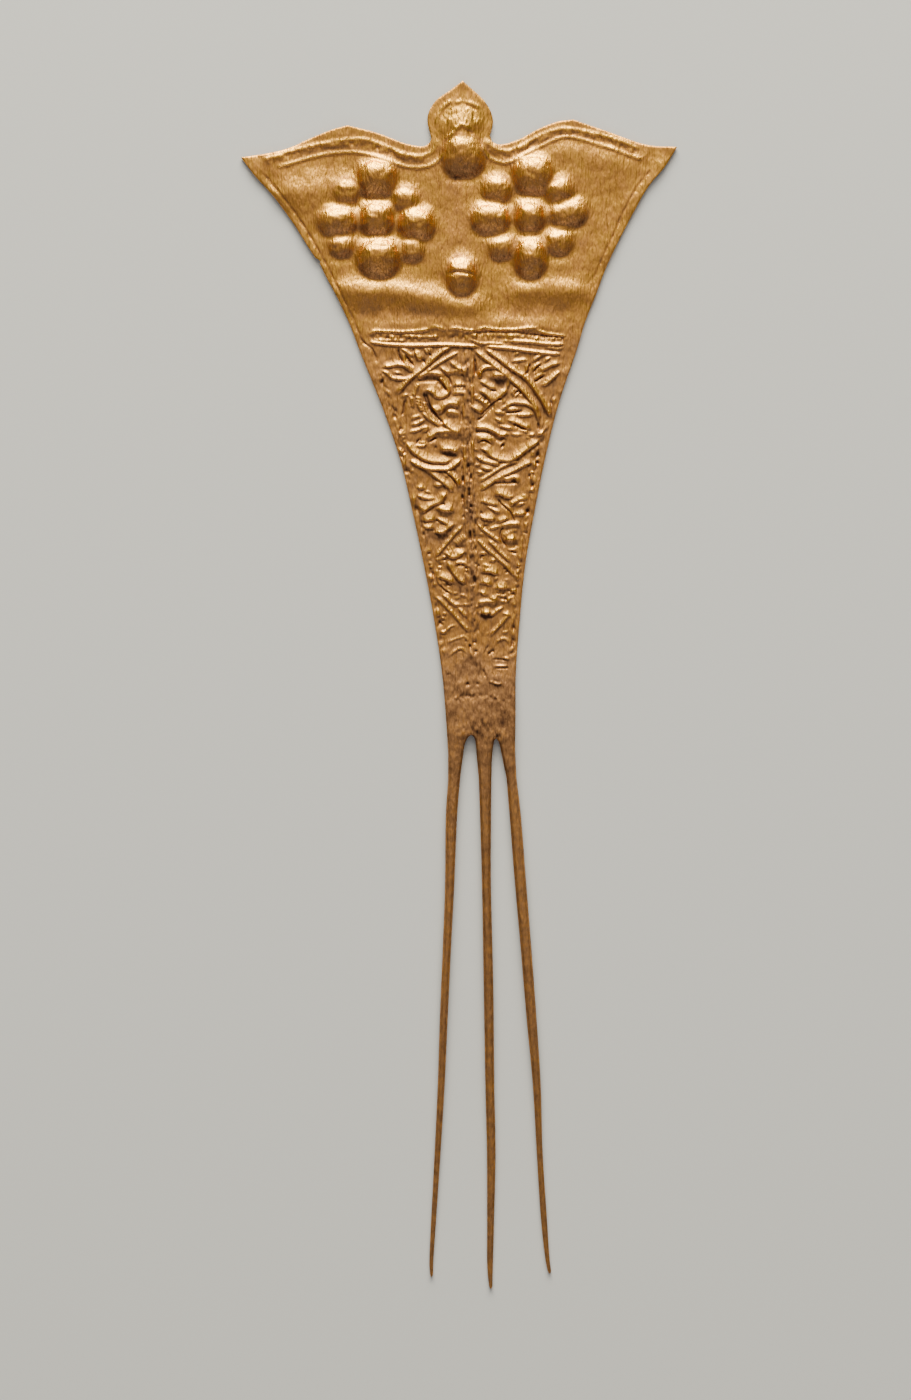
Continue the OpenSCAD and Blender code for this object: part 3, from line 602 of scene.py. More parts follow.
hatch(-0.16, 0.34, [(-6.9, 46.1), (-5.6, 46.65), (-4.3, 46.7), (-3.7, 46.5)],
      [(-6.6, 45.5), (-5.5, 45.4), (-4.4, 45.4), (-4.0, 45.5)])
hatch(-0.18, 0.38, [(-3.9, 45.9), (-3.4, 45.7), (-3.0, 45.1), (-2.7, 44.6)],
      [(-4.0, 45.0), (-3.6, 44.8), (-3.4, 44.4), (-3.1, 44.1)])
hatch(0.14, 0.3, [(-3.8, 40.9), (-3.5, 41.4), (-3.1, 41.8)], [(-3.5, 40.8), (-3.2, 41.2), (-2.9, 41.6)])

# The right cup of the panel: a toothed disc in a deep cup, a serrated stem and a large hooded leaf.
# The cup and the leaf are chased, and the grains on the stem are single blows of a round punch.

punch([
    ("cup", [(4.2, 45.9), (4.6, 46.2), (5.1, 46.3), (5.7, 46.2), (6.2, 45.7)]),
    ("hood", [(4.2, 45.8), (4.6, 46.1), (5.1, 46.2), (5.7, 46.0), (6.1, 45.5)]),
    ("line", [(6.2, 46.1), (6.55, 45.4), (6.5, 44.7), (6.2, 44.2)]),
    ("cup", [(6.3, 44.3), (6.0, 43.8), (5.6, 43.4), (5.1, 43.0), (4.6, 42.6), (4.15, 42.2)]),
    ("line", [(2.35, 45.9), (2.35, 46.6), (2.6, 47.1), (3.2, 47.5), (4.0, 47.6), (4.7, 47.3)]),
    ("lip", [(2.3, 45.45), (3.0, 45.05), (3.7, 44.6), (4.3, 44.3), (4.7, 44.15)]),
    ("slit", [(3.9, 44.2), (4.4, 44.0), (4.8, 43.9)]),
    ("cup", [(2.3, 43.95), (3.0, 43.6), (3.5, 43.2), (3.9, 42.7), (4.2, 42.2)]),
    ("lip", [(1.0, 41.7), (1.6, 41.3), (2.2, 40.9), (2.7, 40.7)]),
    ("slit", [(5.6, 42.7), (4.9, 42.6), (4.2, 42.1), (3.5, 41.5), (2.9, 40.9), (2.3, 40.3)]),
    ("slit", [(4.4, 41.9), (3.7, 41.2), (3.1, 40.6), (2.5, 40.0), (1.8, 39.6)]),
    ("line", [(5.9, 42.7), (5.9, 42.3), (5.6, 42.0)]),
    ("lip", [(6.2, 41.3), (6.6, 41.8), (7.2, 42.05), (7.9, 42.05), (8.7, 41.95), (9.4, 41.75), (10.0, 41.4),
             (10.5, 40.9), (10.85, 40.2), (10.95, 39.4)]),
    ("line", [(5.3, 41.0), (5.8, 41.35), (6.3, 41.7), (6.8, 41.9)]),
    ("hair", [(6.0, 41.2), (6.9, 41.35), (7.6, 41.3)]),
    ("line", [(6.1, 40.9), (7.0, 41.0), (8.1, 41.05)]),
    ("slit", [(6.0, 40.65), (7.0, 40.7), (8.0, 40.75), (8.6, 40.9)]),
    ("lip", [(7.7, 40.15), (8.5, 40.15), (9.4, 40.2), (10.2, 40.25)]),
    ("line", [(4.4, 41.0), (4.8, 40.6), (5.1, 40.8), (5.5, 40.5), (6.0, 40.6)]),
    ("slit", [(7.5, 43.3), (8.0, 43.8), (8.6, 43.3)]),
    ("slit", [(7.4, 44.6), (7.9, 44.3)]),
    ("lip", [(6.4, 39.5), (7.2, 39.25), (7.9, 39.0), (8.6, 38.6), (9.2, 38.35), (9.8, 38.05)]),
    ("slit", [(7.0, 39.0), (7.8, 38.6), (8.5, 38.2), (9.2, 37.95)]),
    ("line", [(4.3, 39.8), (4.9, 39.6), (5.4, 39.3), (5.7, 39.0)]),
    ("slit", [(4.4, 39.45), (4.9, 39.2), (5.3, 39.0)]),
    ("slit", [(4.5, 39.0), (5.0, 38.8)]),
    ("line", [(4.9, 38.65), (6.0, 38.45), (7.2, 38.1)]),
    ("line", [(5.4, 37.45), (6.0, 37.45), (6.5, 37.3)]),
    ("line", [(6.8, 37.4), (7.6, 37.3), (8.4, 37.3)]),
    ("line", [(8.4, 38.0), (8.9, 37.85), (9.5, 37.55)]),
    ("line", [(9.2, 37.25), (10.3, 37.2)]),
    ("hair", [(9.0, 36.85), (9.6, 36.85)]),
    ("slit", [(10.9, 39.1), (10.95, 38.3), (11.0, 37.9)]),
    ("line", [(10.7, 36.9), (11.1, 37.3), (11.6, 37.7), (12.0, 38.3)]),
])
hatch(0.20, 0.38, [(2.1, 46.1), (2.3, 47.1), (3.3, 47.75), (4.7, 47.5)],
      [(2.6, 46.1), (2.85, 46.9), (3.5, 47.25), (4.4, 47.1)])
hatch(0.20, 0.36, [(1.4, 43.2), (2.0, 42.6), (2.6, 41.9), (3.1, 41.5)],
      [(1.9, 43.5), (2.6, 43.1), (3.4, 42.5), (3.8, 42.1)])
dots([
    (1.7, 42.9, 0.16, 0.14), (2.2, 42.7, 0.16, 0.14), (2.7, 42.4, 0.16, 0.14), (3.2, 42.2, 0.18, 0.14),
    (2.0, 43.1, 0.16, -0.14), (2.5, 42.8, 0.16, -0.14), (3.0, 42.6, 0.16, -0.14),
    (3.5, 42.1, 0.16, -0.14),
])
hatch(0.13, 0.32, [(6.9, 43.4), (7.5, 42.9)], [(7.6, 44.3), (8.2, 43.9)])

# The left spiral of the panel: a wide arch round a deep eye, closed below by two sweeps.
# The arch and the sweeps are chased, and grains from a round punch fill the corner beside the edge.

punch([
    ("lip", [(-5.9, 37.05), (-5.2, 37.4), (-4.6, 37.8), (-4.0, 38.0), (-3.4, 38.05), (-2.8, 38.1),
             (-2.2, 38.0), (-1.7, 37.8), (-1.2, 37.5)]),
    ("hood", [(-4.2, 37.5), (-3.4, 37.9), (-2.7, 37.95), (-2.0, 37.8), (-1.4, 37.5), (-0.9, 37.1)]),
    ("line", [(-5.8, 36.75), (-5.2, 37.1), (-4.6, 37.45), (-4.1, 37.5)]),
    ("slit", [(-5.4, 36.5), (-4.9, 36.85), (-4.3, 37.15)]),
    ("hair", [(-3.4, 37.35), (-3.0, 37.4), (-2.5, 37.3)]),
    ("slit", [(-7.35, 36.3), (-7.1, 36.8), (-6.7, 37.15)]),
    ("line", [(-7.6, 36.0), (-6.9, 35.9), (-6.3, 36.0), (-5.8, 36.3)]),
    ("hair", [(-7.0, 36.4), (-6.5, 36.5), (-6.0, 36.5)]),
    ("cup", [(-3.9, 35.15), (-3.3, 35.35), (-2.7, 35.4), (-2.1, 35.3), (-1.7, 35.0), (-1.3, 34.6)]),
    ("hood", [(-3.7, 35.0), (-3.2, 35.25), (-2.7, 35.3), (-2.1, 35.2), (-1.7, 34.9), (-1.4, 34.5)]),
    ("slit", [(-4.6, 35.95), (-4.45, 35.5)]),
    ("cup", [(-8.9, 36.6), (-8.5, 35.9), (-8.0, 35.2), (-7.3, 34.6), (-6.6, 34.1), (-6.0, 33.8),
             (-5.3, 33.6), (-4.6, 33.45), (-3.8, 33.4), (-3.0, 33.45), (-2.4, 33.75)]),
    ("lip", [(-8.4, 33.8), (-7.7, 33.4), (-7.0, 33.0), (-6.2, 32.6), (-5.4, 32.45), (-4.6, 32.35),
             (-3.8, 32.35), (-3.0, 32.3), (-2.5, 32.5), (-1.9, 32.9), (-1.3, 33.3), (-0.9, 33.8)]),
    ("hair", [(-3.3, 31.6), (-3.0, 31.4), (-2.7, 31.25)]),
    ("slit", [(-2.9, 31.7), (-2.3, 31.2), (-1.8, 30.5), (-1.5, 29.9)]),
    ("lip", [(-5.0, 30.0), (-4.3, 29.95), (-3.5, 30.05)]),
    ("lip", [(-7.6, 29.75), (-6.9, 29.65), (-6.2, 29.5)]),
    ("slit", [(-6.2, 30.0), (-5.7, 29.6), (-5.3, 29.3), (-4.9, 29.0)]),
    ("hair", [(-6.4, 29.25), (-5.9, 29.1), (-5.4, 28.9)]),
])
dots([
    (-4.2, 29.2, 0.3, -0.14), (-2.9, 29.5, 0.2, -0.1), (-9.5, 38.3, 0.18, 0.12), (-9.2, 37.9, 0.16, 0.12),
    (-9.3, 37.3, 0.18, 0.12), (-9.2, 36.7, 0.16, 0.12), (-9.6, 35.2, 0.18, 0.12),
    (-9.2, 35.1, 0.16, -0.12), (-9.3, 34.6, 0.16, 0.12), (-9.7, 34.5, 0.16, -0.12),
    (-8.2, 32.3, 0.16, 0.1), (-9.1, 31.8, 0.16, 0.1),
])

# The right spiral of the panel: a hatched arch over a small curl, a long sweep beneath, and a fan of
# chisel cuts. The hatching was cut across the arch after it was raised.

punch([
    ("lip", [(1.4, 38.45), (2.2, 38.5), (3.0, 38.45), (3.7, 38.2), (4.3, 37.9), (4.9, 37.5), (5.4, 37.25),
             (6.3, 37.35)]),
    ("hood", [(1.5, 38.35), (2.2, 38.4), (3.0, 38.35), (3.7, 38.1), (4.3, 37.8), (4.9, 37.4), (5.5, 36.9)]),
    ("cup", [(1.8, 36.4), (2.2, 36.75), (2.7, 36.85), (3.2, 36.75), (3.6, 36.5), (3.95, 36.1)]),
    ("slit", [(2.2, 36.4), (2.7, 36.6), (3.2, 36.4), (3.6, 36.0)]),
    ("cup", [(2.3, 35.35), (3.0, 34.9), (3.5, 34.4), (4.1, 33.95), (4.8, 33.7), (5.5, 33.5), (6.2, 33.35),
             (6.8, 33.5), (7.4, 33.8), (8.0, 34.2), (8.6, 34.7), (9.2, 35.1), (9.8, 35.5), (10.4, 35.9),
             (10.9, 36.35)]),
    ("line", [(7.3, 33.9), (7.9, 34.25), (8.6, 34.55)]),
    ("cut", [(5.2, 35.3), (5.5, 35.7), (5.8, 36.0)]),
    ("slit", [(5.3, 35.6), (5.7, 36.1)]),
    ("slit", [(5.6, 37.0), (5.85, 36.6)]),
    ("line", [(1.2, 35.4), (1.8, 35.05)]),
    ("slit", [(2.4, 35.1), (2.9, 34.8), (3.4, 34.5)]),
    ("lip", [(1.5, 34.2), (2.1, 33.8), (2.8, 33.4), (3.6, 33.15), (4.6, 32.95), (5.1, 32.6)]),
    ("line", [(4.2, 33.35), (4.9, 33.45), (5.5, 33.25)]),
    ("line", [(1.2, 32.85), (1.6, 32.9), (2.1, 32.8)]),
    ("lip", [(2.1, 32.45), (3.0, 32.25), (4.0, 32.1)]),
    ("line", [(1.4, 31.95), (2.0, 31.8), (2.7, 31.55)]),
    ("hair", [(1.6, 31.5), (2.3, 31.45)]),
    ("hood", [(4.1, 30.45), (4.8, 30.75), (5.5, 30.85), (6.0, 30.65), (6.5, 30.75), (7.0, 31.0),
              (7.5, 30.8), (8.0, 30.2)]),
    ("line", [(5.7, 30.65), (6.1, 30.85), (6.5, 30.8)]),
    ("line", [(6.8, 30.95), (7.2, 31.05), (7.6, 30.75)]),
    ("hair", [(7.4, 30.5), (7.8, 30.3)]),
    ("line", [(9.5, 34.0), (9.8, 34.2), (10.2, 34.1)]),
    ("line", [(10.3, 33.2), (10.6, 33.5), (11.0, 33.8)]),
    ("cut", [(9.45, 31.4), (9.35, 30.8)]), ("cut", [(9.95, 30.1), (9.85, 29.6), (9.75, 29.1)]),
    ("cut", [(9.55, 28.8), (9.4, 28.4)]),
    ("hair", [(9.5, 31.5), (9.9, 31.7), (10.2, 31.5)]),
])
hatch(-0.16, 0.34, [(1.6, 38.3), (2.6, 38.4), (3.5, 38.2), (4.4, 37.7), (5.2, 37.2), (5.7, 36.8)],
      [(1.8, 37.5), (2.5, 37.5), (3.2, 37.35), (4.0, 36.9), (4.6, 36.3), (5.0, 36.1)])
hatch(-0.17, 0.36, [(4.3, 30.4), (5.2, 30.7), (6.2, 30.6), (7.1, 30.8)],
      [(4.6, 29.6), (5.3, 29.7), (6.1, 29.6), (6.9, 29.9)])
dots([
    (5.6, 37.3, 0.18, 0.12), (5.9, 36.9, 0.16, 0.12), (7.2, 30.2, 0.26, -0.14), (10.7, 33.0, 0.2, -0.14),
    (10.1, 37.3, 0.18, 0.12), (11.3, 37.4, 0.2, 0.12), (10.0, 34.6, 0.16, 0.1),
])

# The leaves below the spirals, left of the midrib.
# They grow smaller towards the waist. Each berry among them is a raised grain with a pit below it.

punch([
    ("cup", [(-6.9, 25.9), (-6.2, 26.4), (-5.6, 26.85), (-5.0, 27.15), (-4.3, 27.4), (-3.9, 27.7),
             (-3.5, 28.3), (-3.1, 28.9)]),
    ("lip", [(-7.5, 28.6), (-6.8, 28.25), (-6.1, 28.05), (-5.4, 28.0), (-4.7, 28.05)]),
    ("line", [(-3.9, 27.45), (-3.3, 27.4)]),
    ("cup", [(-4.7, 26.45), (-4.2, 26.4), (-3.5, 26.25), (-2.9, 26.2), (-2.4, 26.15), (-2.1, 25.9)]),
    ("hood", [(-4.4, 26.3), (-3.6, 26.2), (-2.9, 26.15), (-2.3, 26.0)]),
    ("hair", [(-3.8, 25.65), (-3.4, 25.5)]),
    ("cup", [(-6.8, 24.75), (-6.2, 24.8), (-5.7, 24.85), (-5.2, 24.85), (-4.8, 24.8)]),
    ("lip", [(-4.5, 24.95), (-4.0, 24.7), (-3.5, 24.4), (-3.1, 24.2), (-2.65, 24.05)]),
    ("slit", [(-4.75, 24.95), (-4.4, 24.5)]),
    ("lip", [(-6.7, 24.0), (-6.4, 23.75), (-5.9, 23.7), (-5.4, 23.65), (-5.0, 23.4)]),
    ("cup", [(-5.0, 22.95), (-4.4, 22.9), (-4.0, 22.95), (-3.6, 23.05), (-3.2, 23.35), (-2.7, 23.75),
             (-2.1, 24.1)]),
    ("hood", [(-4.6, 22.9), (-4.0, 22.9), (-3.5, 23.05), (-2.9, 23.5)]),
    ("cup", [(-3.55, 19.9), (-3.1, 19.6), (-2.7, 19.25), (-2.3, 19.1), (-1.9, 19.2), (-1.5, 19.4),
             (-1.1, 19.65), (-0.6, 19.95)]),
    ("hair", [(-3.1, 20.9), (-2.8, 20.2), (-2.6, 19.6)]),
    ("hair", [(-2.5, 20.9), (-2.25, 20.2), (-2.1, 19.6)]),
    ("line", [(-2.1, 17.95), (-1.9, 18.2), (-1.4, 18.35), (-0.8, 18.3), (-0.5, 18.0), (-0.2, 17.7)]),
    ("lip", [(-3.1, 18.6), (-2.9, 18.0), (-2.6, 17.4), (-2.3, 16.8), (-1.9, 16.3), (-1.5, 15.8),
             (-1.0, 15.4), (-0.5, 15.15)]),
    ("cup", [(-4.65, 16.25), (-4.1, 16.15), (-3.6, 15.95), (-3.1, 15.75), (-2.6, 15.5), (-2.2, 15.3)]),
    ("hair", [(-4.75, 17.5), (-4.75, 16.5), (-4.6, 15.6), (-4.3, 15.15), (-3.9, 14.7), (-3.4, 14.3),
              (-2.9, 14.0), (-2.6, 13.85)]),
    ("slit", [(-4.4, 15.2), (-4.0, 14.6), (-3.5, 14.15), (-3.0, 13.85)]),
    ("line", [(-2.5, 13.7), (-1.8, 13.8)]),
    ("slit", [(-3.4, 15.2), (-2.9, 14.9)]),
    ("hair", [(-4.0, 15.6), (-3.75, 15.3), (-3.6, 15.0)]),
    ("hair", [(-3.3, 15.45), (-2.8, 15.15)]),
    ("line", [(-1.4, 13.5), (-0.9, 13.4), (-0.5, 13.15)]),
    ("hair", [(-2.2, 12.95), (-1.5, 13.2)]),
    ("slit", [(-5.4, 17.2), (-5.4, 16.2)]),
    ("hair", [(-4.3, 7.9), (-3.6, 8.3), (-3.0, 8.75), (-2.3, 9.05)]),
])
hatch(0.16, 0.34, [(-2.0, 21.6), (-1.5, 22.1), (-0.9, 22.6)], [(-1.4, 21.0), (-0.9, 21.3), (-0.3, 21.8)],
      width=0.16)
hatch(0.12, 0.3, [(-4.9, 19.1), (-3.9, 19.5)], [(-4.5, 18.6), (-3.5, 18.9)], width=0.16)
dots([
    (-3.8, 10.75, 0.2, 0.14), (-3.8, 10.4, 0.18, -0.12), (-4.65, 10.6, 0.18, 0.1),
    (-4.65, 10.3, 0.18, -0.12), (-4.0, 10.1, 0.18, 0.1), (-4.05, 9.8, 0.18, -0.12),
    (-4.5, 9.4, 0.16, -0.1), (-4.2, 9.2, 0.16, -0.1), (-3.6, 19.25, 0.18, 0.14),
    (-3.6, 18.95, 0.18, -0.18), (-5.9, 20.3, 0.22, 0.12), (-5.9, 19.85, 0.18, -0.12),
    (-5.8, 18.4, 0.18, 0.12), (-5.8, 18.1, 0.18, -0.14), (-5.6, 17.8, 0.18, 0.1),
    (-5.65, 17.6, 0.16, -0.12), (-4.35, 17.75, 0.2, 0.12), (-4.35, 17.45, 0.18, -0.12),
    (-4.3, 18.05, 0.16, -0.14), (-4.1, 18.5, 0.16, 0.1), (-1.5, 18.0, 0.18, -0.16),
    (-0.9, 18.0, 0.18, -0.16), (-0.4, 17.5, 0.18, -0.16), (-0.4, 17.0, 0.18, -0.14),
    (-1.6, 20.6, 0.3, -0.1), (-1.0, 20.7, 0.25, -0.1), (-3.6, 27.2, 0.2, -0.14), (-7.0, 26.7, 0.18, 0.1),
    (-4.2, 7.95, 0.18, 0.12), (-4.2, 7.65, 0.16, -0.12), (-3.8, 7.9, 0.18, 0.12),
    (-3.8, 7.6, 0.16, -0.12), (-5.1, 15.2, 0.18, 0.1), (-2.8, 8.7, 0.16, -0.1), (-3.0, 12.0, 0.16, -0.1),
])

# The leaves below the spirals, right of the midrib.
# They are chased as on the left, but the two sides were drawn freely and don't mirror each other.

punch([
    ("cup", [(4.2, 28.3), (4.7, 28.5), (5.2, 28.4), (5.6, 28.15), (6.0, 27.95), (6.5, 27.95),
             (6.95, 28.1)]),
    ("lip", [(6.3, 26.6), (6.9, 27.05), (7.4, 27.3), (7.9, 27.6), (8.4, 27.65), (9.05, 27.7)]),
    ("line", [(8.0, 28.2), (8.6, 28.1), (9.0, 27.9)]),
    ("line", [(7.3, 26.6), (7.8, 26.85), (8.3, 27.0), (8.7, 27.0)]),
    ("lip", [(6.9, 25.35), (7.4, 25.4), (7.9, 25.35), (8.4, 25.4), (8.85, 25.6)]),
    ("slit", [(9.0, 25.4), (9.15, 26.2)]),
    ("hair", [(4.9, 27.45), (5.3, 27.05), (5.7, 26.75), (6.2, 26.35), (6.6, 25.95), (6.85, 25.4),
              (7.05, 24.9)]),
    ("cut", [(4.6, 27.7), (5.0, 27.15), (5.5, 26.65), (6.0, 26.2), (6.4, 25.75), (6.7, 25.2), (6.85, 24.6),
             (6.95, 24.2)]),
    ("lip", [(2.0, 27.35), (2.4, 27.4), (2.8, 27.35), (3.2, 27.15), (3.8, 27.0), (4.5, 26.8)]),
    ("line", [(2.9, 26.7), (3.3, 26.5), (3.8, 26.2), (4.3, 25.9), (4.9, 25.7)]),
    ("cup", [(1.85, 25.2), (2.3, 24.9), (2.8, 24.75), (3.3, 24.7), (3.8, 24.7), (4.25, 24.8)]),
    ("lip", [(4.3, 24.35), (4.9, 24.45), (5.5, 24.6), (6.2, 24.8)]),
    ("slit", [(1.95, 26.0), (2.2, 25.5)]),
    ("hair", [(3.0, 28.1), (3.5, 27.9)]),
    ("line", [(3.1, 23.15), (3.8, 23.4), (4.4, 23.55), (4.95, 23.7)]),
    ("hair", [(2.4, 24.0), (3.0, 24.1)]),
    ("hood", [(5.0, 23.5), (5.4, 23.85), (6.0, 23.95), (6.6, 24.0), (7.2, 24.0), (7.8, 23.7)]),
    ("slit", [(5.3, 23.5), (5.0, 23.0), (4.85, 22.4), (4.9, 21.9), (5.2, 21.3), (5.6, 20.6)]),
    ("cup", [(5.4, 21.6), (6.0, 21.65), (6.6, 21.65), (7.3, 21.6)]),
    ("hood", [(5.5, 21.6), (6.3, 21.65), (7.2, 21.6)]),
    ("hair", [(5.9, 20.15), (6.6, 20.1), (7.2, 20.15)]),
    ("slit", [(6.2, 19.9), (6.8, 19.7), (7.3, 19.55)]),
    ("line", [(1.7, 22.5), (2.0, 22.55), (2.3, 22.25)]),
    ("line", [(1.7, 19.6), (2.1, 19.65), (2.8, 19.55)]),
    ("slit", [(1.8, 19.3), (2.4, 19.3)]),
    ("lip", [(3.2, 18.4), (3.6, 18.5), (4.2, 18.65)]),
    ("line", [(2.1, 17.95), (2.7, 17.75), (3.3, 17.6)]),
    ("cup", [(1.9, 16.8), (2.4, 16.9), (2.9, 16.9), (3.4, 16.8), (3.9, 16.6), (4.5, 16.4)]),
    ("line", [(3.8, 15.5), (4.1, 15.85), (4.4, 16.1)]),
    ("line", [(5.3, 15.6), (5.8, 15.6)]),
    ("cup", [(1.7, 15.15), (2.1, 15.25), (2.5, 15.2), (2.9, 15.05), (3.4, 14.85)]),
    ("cup", [(3.8, 14.4), (4.6, 14.4), (5.2, 14.35), (5.8, 14.35)]),
    ("lip", [(1.5, 13.9), (1.9, 13.7), (2.2, 13.55), (2.65, 13.4)]),
    ("lip", [(2.9, 12.95), (3.4, 12.85), (3.8, 12.7), (4.35, 12.4)]),
    ("hood", [(1.2, 12.1), (1.7, 12.35), (2.4, 12.45), (3.0, 12.45), (3.7, 12.4), (4.3, 12.15)]),
    ("line", [(0.85, 11.6), (1.4, 11.8)]),
    ("cup", [(1.6, 10.7), (2.2, 10.7), (2.8, 10.7), (3.35, 10.7)]),
    ("hood", [(1.6, 10.7), (2.3, 10.7), (3.1, 10.7)]),
    ("line", [(2.8, 10.2), (3.3, 10.35), (3.7, 10.7), (4.1, 11.0), (4.6, 11.3), (5.0, 11.6)]),
    ("line", [(6.1, 13.7), (6.5, 13.95), (7.05, 14.1)]),
    ("line", [(5.4, 12.2), (5.7, 12.5), (6.1, 12.85), (6.45, 12.9)]),
    ("lip", [(5.0, 10.45), (5.4, 10.45), (6.05, 10.1)]),
    ("hair", [(7.1, 17.4), (7.5, 17.75), (7.9, 17.95)]),
    ("slit", [(8.3, 22.75), (8.8, 22.5)]),
])
hatch(0.14, 0.34, [(5.3, 22.6), (6.1, 23.1), (6.9, 23.2)], [(5.8, 22.1), (6.5, 22.6), (7.3, 22.8)],
      width=0.16)
dots([
    (4.3, 13.9, 0.2, 0.14), (4.35, 13.6, 0.18, -0.16), (4.3, 13.4, 0.2, 0.14), (4.9, 13.15, 0.2, 0.12),
    (5.3, 13.3, 0.18, 0.12), (4.9, 12.9, 0.18, -0.16), (5.1, 13.5, 0.16, -0.14), (5.0, 12.4, 0.2, 0.14),
    (5.45, 12.7, 0.18, -0.14), (6.0, 13.95, 0.18, -0.16), (5.45, 17.2, 0.2, -0.18),
    (5.5, 17.1, 0.16, 0.14), (5.7, 16.85, 0.2, -0.16), (7.4, 17.4, 0.18, -0.12), (7.3, 16.4, 0.18, -0.1),
    (9.6, 28.6, 0.24, -0.14), (6.5, 13.5, 0.25, -0.14), (2.6, 23.8, 0.18, -0.12),
    (1.9, 19.0, 0.18, -0.16), (7.2, 20.8, 0.25, -0.1), (1.1, 18.1, 0.2, -0.12), (1.45, 17.8, 0.2, -0.14),
    (4.9, 7.5, 0.18, -0.14), (5.1, 7.75, 0.18, 0.1), (3.3, 5.0, 0.2, -0.12), (2.8, 4.6, 0.2, -0.12),
])

# The midrib itself: a low flat rib down the middle of the panel, from the cross band to the waist.
# It is scored up and down with short strokes, in five loose rows.

RIB = [
    (0.75, 50.2), (0.55, 44.0), (0.4, 38.0), (0.3, 32.0), (0.35, 26.0), (0.5, 20.0), (0.5, 14.0),
    (0.35, 8.0),
]
RIB_HEIGHT = 0.07
RIB_WIDTH = 1.15
RIB_FLATNESS = 3
SCORE_ROWS = (-0.95, -0.55, -0.1, 0.3, 0.75)
SCORE_HEIGHTS = (-0.12, -0.08, 0.06)
SCORE_WIDTH = 0.13
SCORE_TOP, SCORE_FOOT = 49.5, 6

at, share = ridge(1.0, RIB_WIDTH, RIB_WIDTH, RIB, step=0.6)
relief[at] += RIB_HEIGHT * np.clip(RIB_FLATNESS * share, 0, 1)
rib_x, rib_y = zip(*RIB[::-1])
scorer = np.random.default_rng(21)
for offset in SCORE_ROWS:
    high = SCORE_TOP - scorer.uniform(0, 2)
    while high > SCORE_FOOT:
        low = high - scorer.uniform(0.5, 2.4)
        x = np.interp((high, low), rib_y, rib_x)
        x += offset + scorer.uniform(-0.12, 0.12, 2)
        depth = scorer.choice(SCORE_HEIGHTS)
        at, stroke = ridge(depth, SCORE_WIDTH, SCORE_WIDTH, list(zip(x, (high, low))), ends=(0.3, 0.3))
        relief[at] += stroke
        high = low - scorer.uniform(0.1, 1.2)

# The roughened ground: the sides of the panel, the grooves of the mouldings and the metal by the fork.
# The chaser went over them with a blunt point, which left them rough, with small blows close together.

# Each row: height of the blows, width of the strip and its middle line
POINTED = [
    (0.018, 1.20, [(0.7, 50.4), (0.5, 44.0), (0.4, 38.0), (0.3, 32.0), (0.4, 26.0), (0.5, 20.0),
                   (0.5, 14.0), (0.35, 9.0), (0.2, 4.0)]),
    (0.070, 0.50, [(-12.6, 47.0), (-11.3, 43.0), (-9.9, 39.0), (-9.6, 35.0), (-8.6, 31.0)]),
    (0.050, 0.40, [(-8.2, 29.0), (-7.0, 24.0), (-6.0, 19.5), (-5.4, 15.0), (-4.6, 9.0), (-4.1, 4.5)]),
    (0.065, 0.50, [(13.3, 43.0), (12.2, 39.0), (10.9, 35.0), (10.0, 31.0), (9.4, 27.5)]),
    (0.055, 0.45, [(9.2, 26.5), (8.3, 22.0), (7.6, 18.0), (7.0, 14.0), (6.6, 9.0), (6.0, 4.0)]),
    (0.045, 0.60, [(-14.4, 52.4), (-8.0, 52.2), (0.0, 52.2), (8.0, 52.0), (15.5, 51.4)]),
    (0.050, 0.45, [(-28.6, 79.2), (-22.0, 81.0), (-16.4, 81.6), (-10.8, 80.3), (-5.9, 78.9), (-4.0, 79.8)]),
    (0.050, 0.45, [(4.4, 80.3), (6.8, 79.4), (10.4, 80.6), (15.8, 82.5), (20.6, 81.6), (26.9, 79.2)]),
    (0.040, 1.10, [(-2.6, 84.6), (0.6, 85.6), (3.4, 84.6)]),
    (0.030, 2.20, [(-2.4, -8.0), (1.4, -6.4), (4.8, -8.4)]),
    (0.030, 0.50, [(-3.0, -1.9), (1.5, -1.7), (5.0, -2.6)]),
]
blows = hammering(10, 0.12, 2.2) + 0.5 * hammering(11, 0.22, 1.8)
for height, width, points in POINTED:
    at, share = ridge(1.0, width, width, points, step=0.6)
    relief[at] += height * np.sqrt(share) * blows[at]

# The worn foot of the panel: shallow arcs, a few broken dashes and rows of small grains at the waist.
# Years of handling have rubbed this part of the gold nearly smooth.

